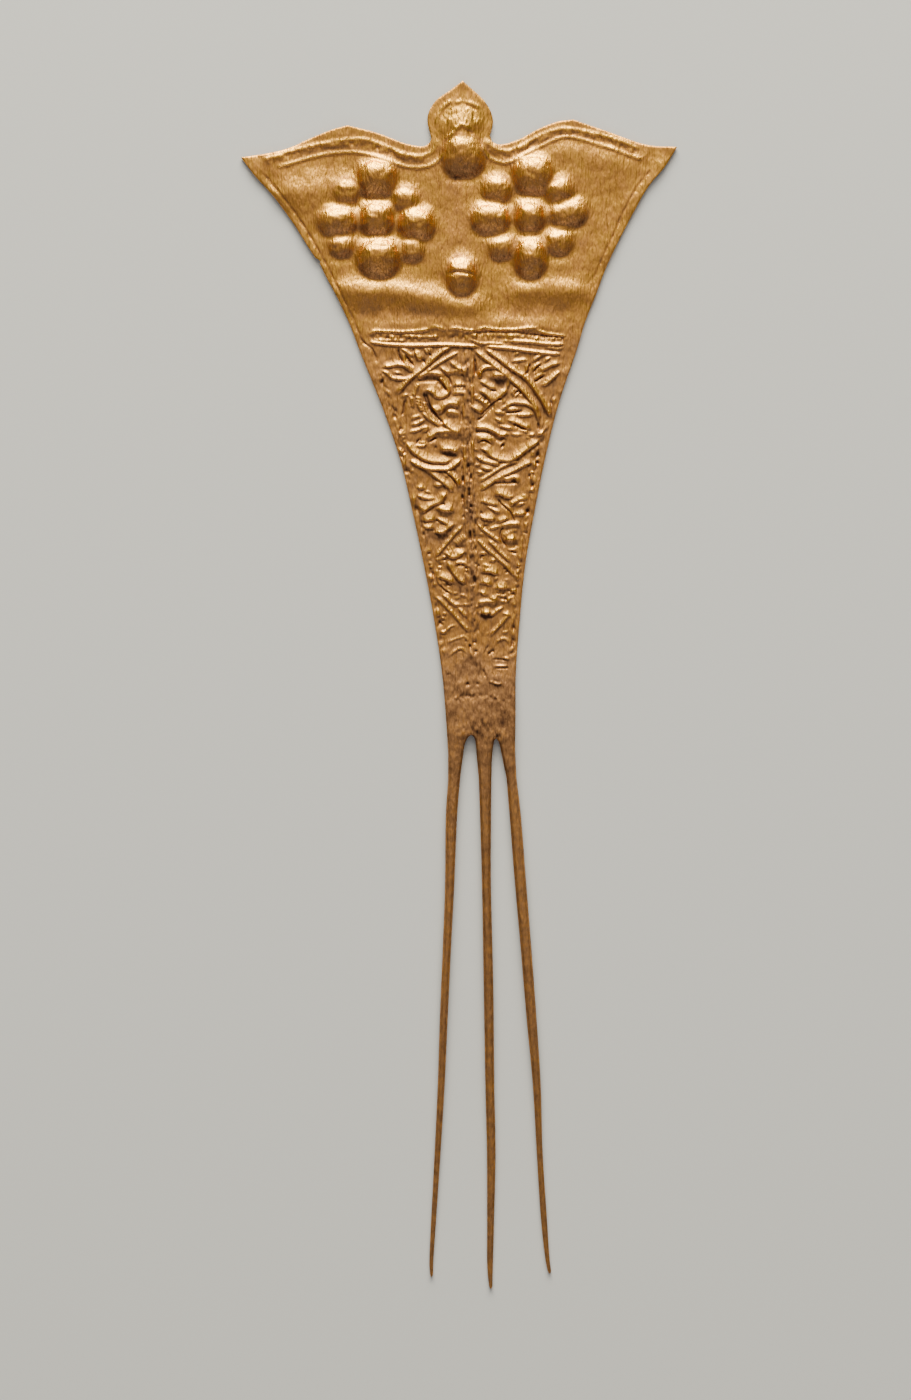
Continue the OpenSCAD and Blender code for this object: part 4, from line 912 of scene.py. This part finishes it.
punch([
    ("faint", [(-3.5, 6.3), (-2.8, 6.75), (-2.3, 6.95), (-1.6, 7.1), (-1.0, 7.3), (-0.6, 7.0),
               (-0.2, 6.5)]),
    ("faint", [(-2.9, 6.65), (-2.4, 6.85), (-2.0, 6.95)]),
    ("worn", [(-0.75, 6.9), (-0.65, 6.2)]),
    ("faint", [(-3.3, 4.3), (-2.8, 4.8), (-2.2, 5.2), (-1.6, 5.5), (-1.2, 5.4), (-0.9, 5.1), (-0.5, 4.7)]),
    ("faint", [(-1.9, 5.4), (-1.2, 5.55)]),
    ("worn", [(-1.9, 5.15), (-1.3, 5.2)]),
    ("faint", [(2.2, 7.3), (2.6, 7.6), (2.9, 8.0)]),
    ("faint", [(4.8, 7.65), (5.3, 7.8), (5.9, 8.1)]),
    ("faint", [(3.7, 6.0), (4.1, 6.5), (4.6, 6.7), (5.1, 6.85), (5.5, 6.6), (5.9, 6.1)]),
    ("faint", [(4.0, 6.5), (4.6, 6.75)]),
    ("worn", [(2.7, 5.9), (2.3, 5.2), (2.1, 4.6)]),
    ("worn", [(2.8, 4.6), (3.3, 5.1)]),
    ("faint", [(3.2, 4.2), (3.7, 4.25)]), ("faint", [(4.6, 3.9), (5.3, 3.9), (5.9, 3.7)]),
    ("worn", [(3.3, 3.85), (4.5, 3.75), (5.3, 3.6)]),
    ("faint", [(3.6, 2.75), (4.6, 2.7), (5.5, 2.65)]),
    ("worn", [(3.6, 2.45), (4.6, 2.45), (5.6, 2.4)]),
    ("faint", [(2.6, 0.45), (3.3, 0.25), (3.9, 0.0), (4.6, 0.15)]),
    ("worn", [(-3.6, 1.65), (-3.2, 1.7)]),
    ("worn", [(1.7, 2.3), (2.0, 1.7), (2.1, 1.1)]),
])
WORN_GRAIN = 0.07
WORN_GRAINS = [
    (4.1, 6.5), (4.6, 6.7), (5.1, 6.8), (5.6, 6.4), (-1.7, 5.5), (-1.2, 5.45), (2.9, 0.4), (3.6, 0.15),
    (4.3, 0.1),
]
dots([(x, 3.95 - 0.1 * (x - 3.4), 0.14, WORN_GRAIN) for x in np.arange(3.4, 5.9, 0.42)])
dots([(x, 2.75, 0.14, WORN_GRAIN) for x in np.arange(3.6, 5.6, 0.4)])
dots([(x, y, 0.15, WORN_GRAIN) for x, y in WORN_GRAINS])

# The furrows along both sides of the head.
# Each is one chased line, a millimetre or so inside the cut edge, pressed in with a blunt punch whose
# single blows show as dashes.

SIDE_FURROWS = [
    (-0.16, 0.22, 0.22, 0.45, [(-29.4, 77.3), (-26.8, 74.0), (-24.2, 70.4), (-21.9, 66.4), (-20.1, 63.0),
                               (-18.2, 59.0), (-16.6, 55.4), (-15.2, 52.0), (-13.7, 50.6), (-13.0, 48.6)]),
    (-0.12, 0.2, 0.2, 0.45, [(28.8, 76.6), (26.6, 74.0), (24.6, 70.6), (22.6, 66.4), (21.0, 63.2),
                             (19.6, 60.0)]),
]
chase(SIDE_FURROWS)

# The two faces of the gold, the wall of the cut edge between them, and the mesh.
# The front carries all of the work. The plain back follows it softly, hollow behind the bosses and a
# little behind the lines. The edge is rounded off, a little on the sheet and well on the prongs.

# The slight blur stands for wear. It takes height from the thin lines, and LINE_GAIN gives it back
LINE_GAIN = 1.45
BACK_BOSSES = 0.9
BACK_LINES = 0.6
LEAST_SHEET = 0.45

worn_lines = LINE_GAIN * blurred(relief, 0.05)
front_height = thickness + swell + grain + blurred(bosses, 0.06) + foot + worn_lines
back_height = swell + BACK_BOSSES * blurred(bosses, 0.35) + BACK_LINES * blurred(relief, 0.2)


def height_at(field, x, y):
    """The field between the points of the grid, weighted by how near each of the four round a place is."""
    column = np.clip((x - x_line[0]) / PITCH, 0, len(x_line) - 1.001)
    row = np.clip((y - y_line[0]) / PITCH, 0, len(y_line) - 1.001)
    i, j = row.astype(int), column.astype(int)
    v, u = row - i, column - j
    low = field[i, j] * (1 - u) + field[i, j + 1] * u
    high = field[i + 1, j] * (1 - u) + field[i + 1, j + 1] * u
    return low * (1 - v) + high * v


EDGE_REACH = 1.0
BAND = 2.0


def from_edge(places):
    """Distance from each place to the outline, up to EDGE_REACH, and whether it lies inside, by counting
    the sides crossed on the way out. It works band by band up Y, with only the sides near the band."""
    a, b = outline, np.roll(outline, -1, axis=0)
    low_side, high_side = np.minimum(a[:, 1], b[:, 1]), np.maximum(a[:, 1], b[:, 1])
    near, inside = np.full(len(places), EDGE_REACH), np.zeros(len(places), bool)
    for low in np.arange(y_line[0], y_line[-1], BAND):
        mine = np.flatnonzero((places[:, 1] >= low) & (places[:, 1] < low + BAND))
        sides = (high_side > low - EDGE_REACH) & (low_side < low + BAND + EDGE_REACH)
        if len(mine) and sides.any():
            part, start, step = places[mine], a[sides], (b - a)[sides]
            d = part[:, None, :] - start
            t = np.clip((d * step).sum(2) / (step**2).sum(1), 0, 1)
            gap = np.hypot(*(d - t[..., None] * step).transpose(2, 0, 1)).min(1)
            near[mine] = np.minimum(gap, EDGE_REACH)
            over = (start[:, 1] > part[:, 1:]) != (start[:, 1] + step[:, 1] > part[:, 1:])
            cross = start[:, 0] + d[..., 1] * step[:, 0] / np.where(step[:, 1] == 0, 1, step[:, 1])
            inside[mine] = (over & (part[:, :1] < cross)).sum(1) % 2 == 1
    return near, inside


SHEET_ROUND = 0.14
PRONG_MORE, POINT_LESS = 0.36, 0.34
BACK_ROUND = 0.7


def edge_radius(y):
    """How far the edge is rounded: least on the sheet, more down the fork to nearly half the prongs'
    thickness, and less again towards their points."""
    return SHEET_ROUND + PRONG_MORE * ease(0, -14, y) - POINT_LESS * ease(-45, -92, y)


# From each point of the outline straight into the metal
inward = np.roll(outline, -1, axis=0) - np.roll(outline, 1, axis=0)
inward = np.stack([inward[:, 1], -inward[:, 0]], 1) / np.hypot(*inward.T)[:, None]

WIDENED = 0.4


def rows_of_points(spacings):
    """Points in rows across the hairpin, every other row half a step aside. Each entry gives the Y where
    it ends, the step up Y and the step across X, which widens by the share WIDENED towards the wings."""
    rows, y = [], y_line[0]
    for top, rise, across in spacings:
        while y < top:
            level = outline[np.abs(outline[:, 1] - y) < 1.0, 0]
            if len(level):
                width = across * (1 + WIDENED * float(ease(55, 82, y)))
                count = int(max(-level.min(), level.max()) / width) + 1
                x = (np.arange(-count, count + 1) + 0.5 * (len(rows) % 2)) * width
                rows.append(np.stack([x, np.full(len(x), y)], 1))
            y += rise
    return np.concatenate(rows)


def sheet_of_triangles(spacings, rings, gap):
    """The outline, rings of points just inside it and rows of points further in, joined by Delaunay
    triangles. Each ring lies at a share of the edge's radius, and the rows begin a gap beyond the last."""
    r = edge_radius(outline[:, 1])[:, None]
    places = [outline] + [outline + inward * r * share for share in rings]
    inner = rows_of_points(spacings)
    near, inside = from_edge(inner)
    inner = inner[inside & (near > edge_radius(inner[:, 1]) * rings[-1] + gap)]
    places = np.concatenate(places + [inner])
    n = len(outline)
    sides = [(k, (k + 1) % n) for k in range(n)]
    result = delaunay_2d_cdt([Vector(p) for p in places], sides, [], 1, 1e-6)
    places = np.array(result[0])[:, :2]
    return places, np.array(result[2])


def rounded(places, radius_share):
    """How far the face falls near the edge, as a quarter round does: with a radius r, at a distance d
    from the edge, it is r less the root of (r squared less (r - d) squared)."""
    near, inside = from_edge(places)
    r = edge_radius(places[:, 1]) * radius_share
    near = np.minimum(np.where(inside, near, 0), r)
    return r - np.sqrt(np.clip(r**2 - (r - near) ** 2, 0, None))


# The front is finest over the panel. The back is coarser, and finest behind the bosses
FRONT_ROWS = [(-13.5, 0.55, 0.26), (-3, 0.28, 0.26), (53.5, 0.15, 0.15), (91, 0.245, 0.20)]
BACK_ROWS = [(-13.5, 1.2, 0.5), (-3, 0.7, 0.7), (53.5, 0.6, 0.6), (91, 0.45, 0.42)]
front, front_faces = sheet_of_triangles(FRONT_ROWS, rings=(0.15, 0.6), gap=0.09)
back, back_faces = sheet_of_triangles(BACK_ROWS, rings=(0.5,), gap=0.2)

# The back lies on Z = 0. Where the work lifts it, it still stays LEAST_SHEET or more under the front
front_z = height_at(front_height, *front.T) - rounded(front, 1.0)
back_z = np.clip(height_at(back_height, *back.T), 0, None) + rounded(back, BACK_ROUND)
under_front = height_at(front_height, *back.T) - LEAST_SHEET
back_z = np.minimum(back_z, np.maximum(under_front, 0))

# The wall: two triangles from each side of the outline in front to the same side behind
ring = np.arange(len(outline))
following = (ring + 1) % len(outline)
base = len(front)
wall = np.concatenate([
    np.stack([ring, following, base + following], 1),
    np.stack([ring, base + following, base + ring], 1),
])


def facing(places, faces, up):
    """The same triangles, turned where needed so that they face up, or down."""
    a, b, c = places[faces[:, 0]], places[faces[:, 1]], places[faces[:, 2]]
    area = (b[:, 0] - a[:, 0]) * (c[:, 1] - a[:, 1]) - (b[:, 1] - a[:, 1]) * (c[:, 0] - a[:, 0])
    wrong = (area > 0) != up
    faces = faces.copy()
    faces[wrong] = faces[wrong][:, ::-1]
    return faces


points = np.concatenate([np.column_stack([front, front_z]), np.column_stack([back, back_z])])
faces = np.concatenate([
    facing(front, front_faces, up=True),
    wall[:, ::-1],
    facing(back, back_faces, up=False) + base,
])

mesh = bpy.data.meshes.new("hairpin_gold")
mesh.vertices.add(len(points))
mesh.vertices.foreach_set("co", (points * MM).ravel())
mesh.loops.add(faces.size)
mesh.loops.foreach_set("vertex_index", faces.ravel())
mesh.polygons.add(len(faces))
mesh.polygons.foreach_set("loop_start", np.arange(0, faces.size, 3))
mesh.polygons.foreach_set("loop_total", np.full(len(faces), 3))
mesh.update()
mesh.validate()
mesh.polygons.foreach_set("use_smooth", np.ones(len(faces), bool))

# The dirt on the gold, kept with the mesh as one number for each point, about 0 where it is clean.
# Brown dirt sits in the hollows of the work and the crests are rubbed bright, so each point
# remembers how far it lies below or above the metal round it. The same number also carries painted light:
# painted shade on slopes, boss halves and sides turned away from the window and in the gaps between bosses,
# and painted highlights on slopes and boss tops turned towards it. The back has one even coat.

# Patches laid over the dirt: strength, width and middle line. Some are painted shade: the band under the
# rosettes, the column between them, the shadowed side of the left curl's stem, and the hollows under the
# right cup's hood and in the left spiral. The one below 0 is a painted highlight on the finial's mound. The
# others darken the metal along their lines
STAINS_AND_PAINTED_LIGHT = [
    (0.25, 1.4, [(0.6, 27.4), (0.6, 25.2)]), (0.25, 1.0, [(-1.4, 14.8), (-1.3, 13.9)]),
    (0.14, 1.8, [(0.2, 4.4), (0.6, 3.2)]), (0.10, 1.4, [(-0.6, 3.6), (-1.7, 2.3)]),
    (0.30, 0.9, [(0.6, 17.4), (0.8, 15.8)]),
    (0.15, 1.3, [(0.6, 50.0), (0.4, 38.0), (0.3, 30.0), (0.4, 20.0), (0.5, 9.0)]),
    # A painted highlight on the finial's mound
    (-0.20, 3.5, [(-1.2, 85.2), (2.4, 85.2)]),
    (0.25, 1.6, [(-6.0, 22.4), (-4.0, 22.0)]), (0.28, 0.8, [(1.7, 10.3), (3.0, 10.1)]),
    # Both rows here are painted shade, in the hollows under the right cup's hood and in the left spiral
    (0.30, 1.0, [(4.9, 45.2), (5.7, 45.0)]), (0.25, 0.8, [(-3.2, 34.8), (-1.8, 34.6)]),
    (0.12, 0.7, [(-23.5, 80.2), (-19.0, 80.9), (-15.0, 81.0)]),
    (0.12, 0.7, [(-12.0, 80.3), (-7.0, 78.7), (-4.6, 78.8)]),
    (0.12, 0.7, [(6.6, 79.0), (10.0, 80.2), (14.0, 81.9), (18.0, 82.0), (22.0, 80.9)]),
    # Painted shade: the column between the rosettes, and the band under the rosettes on this line and the
    # first of the next
    (0.10, 3.6, [(-0.6, 77.0), (0.0, 63.0)]), (0.20, 2.2, [(-15.0, 56.0), (-4.0, 55.6)]),
    (0.14, 1.8, [(6.0, 55.8), (15.0, 55.9)]), (0.08, 2.0, [(19.0, 70.0), (17.5, 62.0)]),
    # The first row here is painted shade on the shadowed side of the left curl's stem
    (0.22, 0.8, [(-6.2, 43.6), (-5.8, 42.4), (-4.8, 40.9)]), (0.12, 0.7, [(3.8, 3.5), (5.8, 3.4)]),
    (0.16, 0.9, [(4.2, -4.0), (4.6, -6.2)]),
]

PANEL_DIRT, FORK_DIRT, PRONG_WEAR = 0.15, 0.18, 0.05
HOLLOW_DIRT = 2.2
# Painted shade and painted highlights: by slope, on the bosses' halves and sides, and in the gaps between
# bosses
SLOPE_PAINTED_LIGHT, STEEP_PAINTED_SHADE = 0.85, 0.1
BOSS_LOWER_PAINTED_SHADE, BOSS_UPPER_PAINTED_HIGHLIGHT, BOSS_SIDE_PAINTED_SHADE = 0.16, 0.28, 0.12
CREVICE_PAINTED_SHADE = 0.45
MASK_LEAST, MASK_MOST = -0.3, 1
BACK_DIRT = 0.6

# Most on the fork, least on the head
mask = PANEL_DIRT - PANEL_DIRT * ease(50, 56, grid_y)
mask += FORK_DIRT * ease(9, -2, grid_y) - PRONG_WEAR * ease(-10, -16, grid_y)

# In hollows, where the metal round a place stands higher than the place
worked = relief + 0.15 * bosses
mask += HOLLOW_DIRT * (blurred(worked, 0.45) - blurred(worked, 0.06))

# Painted shade on slopes that look to the prongs, away from the window, and a painted highlight in the
# clean colour on slopes that look to the finial and the window
low_work = front_height - thickness - 0.75 * bosses - 0.5 * swell
rise = np.gradient(blurred(low_work, 0.1), PITCH, axis=0)
mask += SLOPE_PAINTED_LIGHT * np.clip(rise, -0.22, 0.2) + STEEP_PAINTED_SHADE * np.clip(rise, 0, 1)

# Painted shade on the bosses' lower halves and a painted highlight on their upper halves, as the window
# lights them, and more painted shade on their steep sides and in the gaps between them
boss_rise, boss_side = np.gradient(blurred(bosses, 0.15), PITCH)
mask += BOSS_LOWER_PAINTED_SHADE * ease(0, 0.35, boss_rise) - BOSS_UPPER_PAINTED_HIGHLIGHT * ease(0.25, 0.7, -boss_rise)
mask += BOSS_SIDE_PAINTED_SHADE * ease(0.4, 1.2, abs(boss_side))
mask += CREVICE_PAINTED_SHADE * ease(0.12, 0.45, blurred(bosses, 0.45) - blurred(bosses, 0.06))

for strength, width, points in STAINS_AND_PAINTED_LIGHT:
    at, stain_and_painted_light = ridge(strength, width, width, points, ends=(0, 0))
    mask[at] += stain_and_painted_light
mask = np.clip(mask, MASK_LEAST, MASK_MOST)
grime_and_painted_light = np.concatenate([height_at(mask, *front.T), np.full(len(back), BACK_DIRT)])
attribute = mesh.attributes.new("grime_and_painted_light", "FLOAT", "POINT")
attribute.data.foreach_set("value", grime_and_painted_light.astype(np.float32))

hairpin = bpy.data.objects.new("hairpin_worked", mesh)
bpy.context.scene.collection.objects.link(hairpin)

# The gold itself: of high carat, worn soft and bright where hands and hair rub it, and given a painted
# highlight, a cleaner and yellower colour, on slopes and boss tops that face the window. Dirt lies over it
# as a film, thin and orange on the open metal, reddish brown in the hollows, and the same browns are
# painted shade on slopes and boss sides turned away from the window and in the gaps between bosses. Fine
# pits and crossed scratches run along the hairpin.

gold = bpy.data.materials.new("worn_gold")
gold.use_nodes = True
nodes, links = gold.node_tree.nodes, gold.node_tree.links
shader = nodes["Principled BSDF"]
shader.inputs["Metallic"].default_value = 1.0


def node(kind, **values):
    """A new node of the material. Each named socket takes a value or another node's output."""
    new = nodes.new(kind)
    for name, value in values.items():
        socket = new.inputs[name.replace("_", " ")]
        if isinstance(value, bpy.types.NodeSocket):
            links.new(value, socket)
        else:
            socket.default_value = value
    return new


def reckoned(operation, *terms):
    """The output of a new Math node. Each term is a number or another node's output."""
    new = nodes.new("ShaderNodeMath")
    new.operation = operation
    for socket, term in zip(new.inputs, terms):
        if isinstance(term, bpy.types.NodeSocket):
            links.new(term, socket)
        else:
            socket.default_value = term
    return new.outputs[0]


place = nodes.new("ShaderNodeTexCoord").outputs["Object"]
# Reads each point's number of dirt and painted light
worn = nodes.new("ShaderNodeAttribute")
worn.attribute_name = "grime_and_painted_light"

# The strength of the dirt and the painted light at each place: the points' own, with slow clouds and fine
# drawn-out grains
CLOUD_SHARE = 0.4
GRAIN_SHARE = 0.5
drawn = node("ShaderNodeMapping", Vector=place, Scale=(1.0, 0.3, 1.0)).outputs["Vector"]
clouds = node("ShaderNodeTexNoise", Vector=place, Scale=420.0, Detail=8.0, Roughness=0.72)
grains = node("ShaderNodeTexNoise", Vector=drawn, Scale=2600.0, Detail=4.0, Roughness=0.7)
speckled = reckoned("MULTIPLY_ADD", grains.outputs["Fac"], GRAIN_SHARE, worn.outputs["Fac"])
dirt_and_painted_light = reckoned("MULTIPLY_ADD", clouds.outputs["Fac"], CLOUD_SHARE, speckled)

# The metal's colour from clean to caked with dirt: the dirt's strength and the colour there. The clean end
# also colours the painted highlights, and the brown end the painted shade.
CLEAN_AND_PAINTED_HIGHLIGHT = (0.16, (1.0, 0.51, 0.075, 1))
HANDLED = (0.38, (1.0, 0.475, 0.08, 1))
DULL = (0.56, (0.87, 0.388, 0.096, 1))
BROWN_AND_PAINTED_SHADE = (0.76, (0.50, 0.243, 0.098, 1))
CAKED = (1.0, (0.09, 0.04, 0.024, 1))
ramp = node("ShaderNodeValToRGB", Fac=dirt_and_painted_light)
stops = ramp.color_ramp.elements
stops[0].position, stops[0].color = CLEAN_AND_PAINTED_HIGHLIGHT
stops[1].position, stops[1].color = CAKED
for position, colour in (HANDLED, DULL, BROWN_AND_PAINTED_SHADE):
    stops.new(position).color = colour
links.new(ramp.outputs["Color"], shader.inputs["Base Color"])

sheen = node("ShaderNodeMapRange", Value=dirt_and_painted_light, From_Min=0.2, From_Max=0.9, To_Min=0.29, To_Max=0.54)
links.new(sheen.outputs["Result"], shader.inputs["Roughness"])

# Pits, and scratches in two directions: turn in radians, and how many to the metre
SCRATCHES = ((0.12, 3400.0), (-0.55, 4200.0))
SCRATCH_DEPTH = 0.2
PIT_DEPTH = 0.00011
pits = node("ShaderNodeTexNoise", Vector=drawn, Scale=3200.0, Detail=1.5, Roughness=0.5)
furrows = []
for turn, scale in SCRATCHES:
    along = node("ShaderNodeMapping", Vector=place, Rotation=(0.0, 0.0, turn), Scale=(1.0, 0.06, 1.0))
    streaks = node("ShaderNodeTexNoise", Vector=along.outputs["Vector"], Scale=scale, Detail=1.0,
                   Roughness=0.5)
    furrow = node("ShaderNodeMapRange", Value=streaks.outputs["Fac"], From_Min=0.62, From_Max=0.72,
                  To_Min=0.0, To_Max=-SCRATCH_DEPTH)
    furrows.append(furrow.outputs["Result"])
skin = reckoned("ADD", pits.outputs["Fac"], reckoned("ADD", *furrows))
bump = node("ShaderNodeBump", Height=skin, Strength=1.0, Distance=PIT_DEPTH)
links.new(bump.outputs["Normal"], shader.inputs["Normal"])

mesh.materials.append(gold)

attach(hairpin, "root")
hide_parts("hairpin")

# The floor: a plain card of matt pale paper that the hairpin lies on, a hair's breadth under its back.
# It is staging for the picture and no part of the hairpin.

bpy.ops.mesh.primitive_plane_add(size=3.0, location=(0, 0, -0.0001))
floor = bpy.context.object
floor.name = "floor"
card = bpy.data.materials.new("pale_card")
card.use_nodes = True
paper = card.node_tree.nodes["Principled BSDF"].inputs
paper["Base Color"].default_value = (0.80, 0.79, 0.77, 1)
paper["Roughness"].default_value = 0.9
floor.data.materials.append(card)

# The light: a wide soft window beyond the finial, low over the work so that the relief shows, with
# its dimmer top above it, a dim soft box overhead and a white card that throws a little light back.

# Places and sizes in metres, energy in watts
DAYLIGHT = (1.0, 0.975, 0.84)
KEY = {"place": (0.0, 1.05, 0.40), "size": (0.9, 0.4), "energy": 26.0, "colour": DAYLIGHT}
HIGH = {"place": (0.0, 0.85, 0.80), "size": (0.9, 0.5), "energy": 5.2, "colour": DAYLIGHT}
FILL = {"place": (0.0, 0.30, 1.20), "size": (0.9, 0.9), "energy": 1.0}
CARD = {"place": (0.0, -0.90, 0.60), "size": (0.9, 0.4), "energy": 1.8}


def soft_box(name, place, size, energy, colour=(1.0, 1.0, 1.0)):
    """A rectangular area light that looks at the middle of the hairpin."""
    lamp = bpy.data.lights.new(name, "AREA")
    lamp.shape = "RECTANGLE"
    lamp.size, lamp.size_y = size
    lamp.energy = energy
    lamp.color = colour
    box = bpy.data.objects.new(name, lamp)
    box.location = place
    box.rotation_euler = (-Vector(place)).to_track_quat("-Z", "Y").to_euler()
    bpy.context.scene.collection.objects.link(box)


soft_box("window", **KEY)
soft_box("top_of_window", **HIGH)
soft_box("overhead", **FILL)
soft_box("card", **CARD)

room = bpy.data.worlds.new("room")
room.use_nodes = True
walls = room.node_tree.nodes["Background"].inputs
walls["Color"].default_value = (1.0, 0.97, 0.93, 1)
walls["Strength"].default_value = 0.10
bpy.context.scene.world = room

# The camera: straight above, as the photo was taken, turned a little because the hairpin leans.
# Its middle and its height come from the hairpin's length and place in the photo's frame.

PHOTO_MM_PER_PIXEL = 0.15
PHOTO_HEIGHT = 1400
LEAN = math.radians(1.35)
LENS = 100.0
SENSOR = 36.0
VIEW_MIDDLE = (-2.46, -2.18)

camera = bpy.data.cameras.new("camera")
camera.lens = LENS
camera.sensor_width = SENSOR
view = bpy.data.objects.new("camera", camera)
height = PHOTO_MM_PER_PIXEL * PHOTO_HEIGHT * LENS / SENSOR
view.location = (VIEW_MIDDLE[0] * MM, VIEW_MIDDLE[1] * MM, height * MM)
view.rotation_euler = (0, 0, -LEAN)
bpy.context.scene.collection.objects.link(view)
bpy.context.scene.camera = view
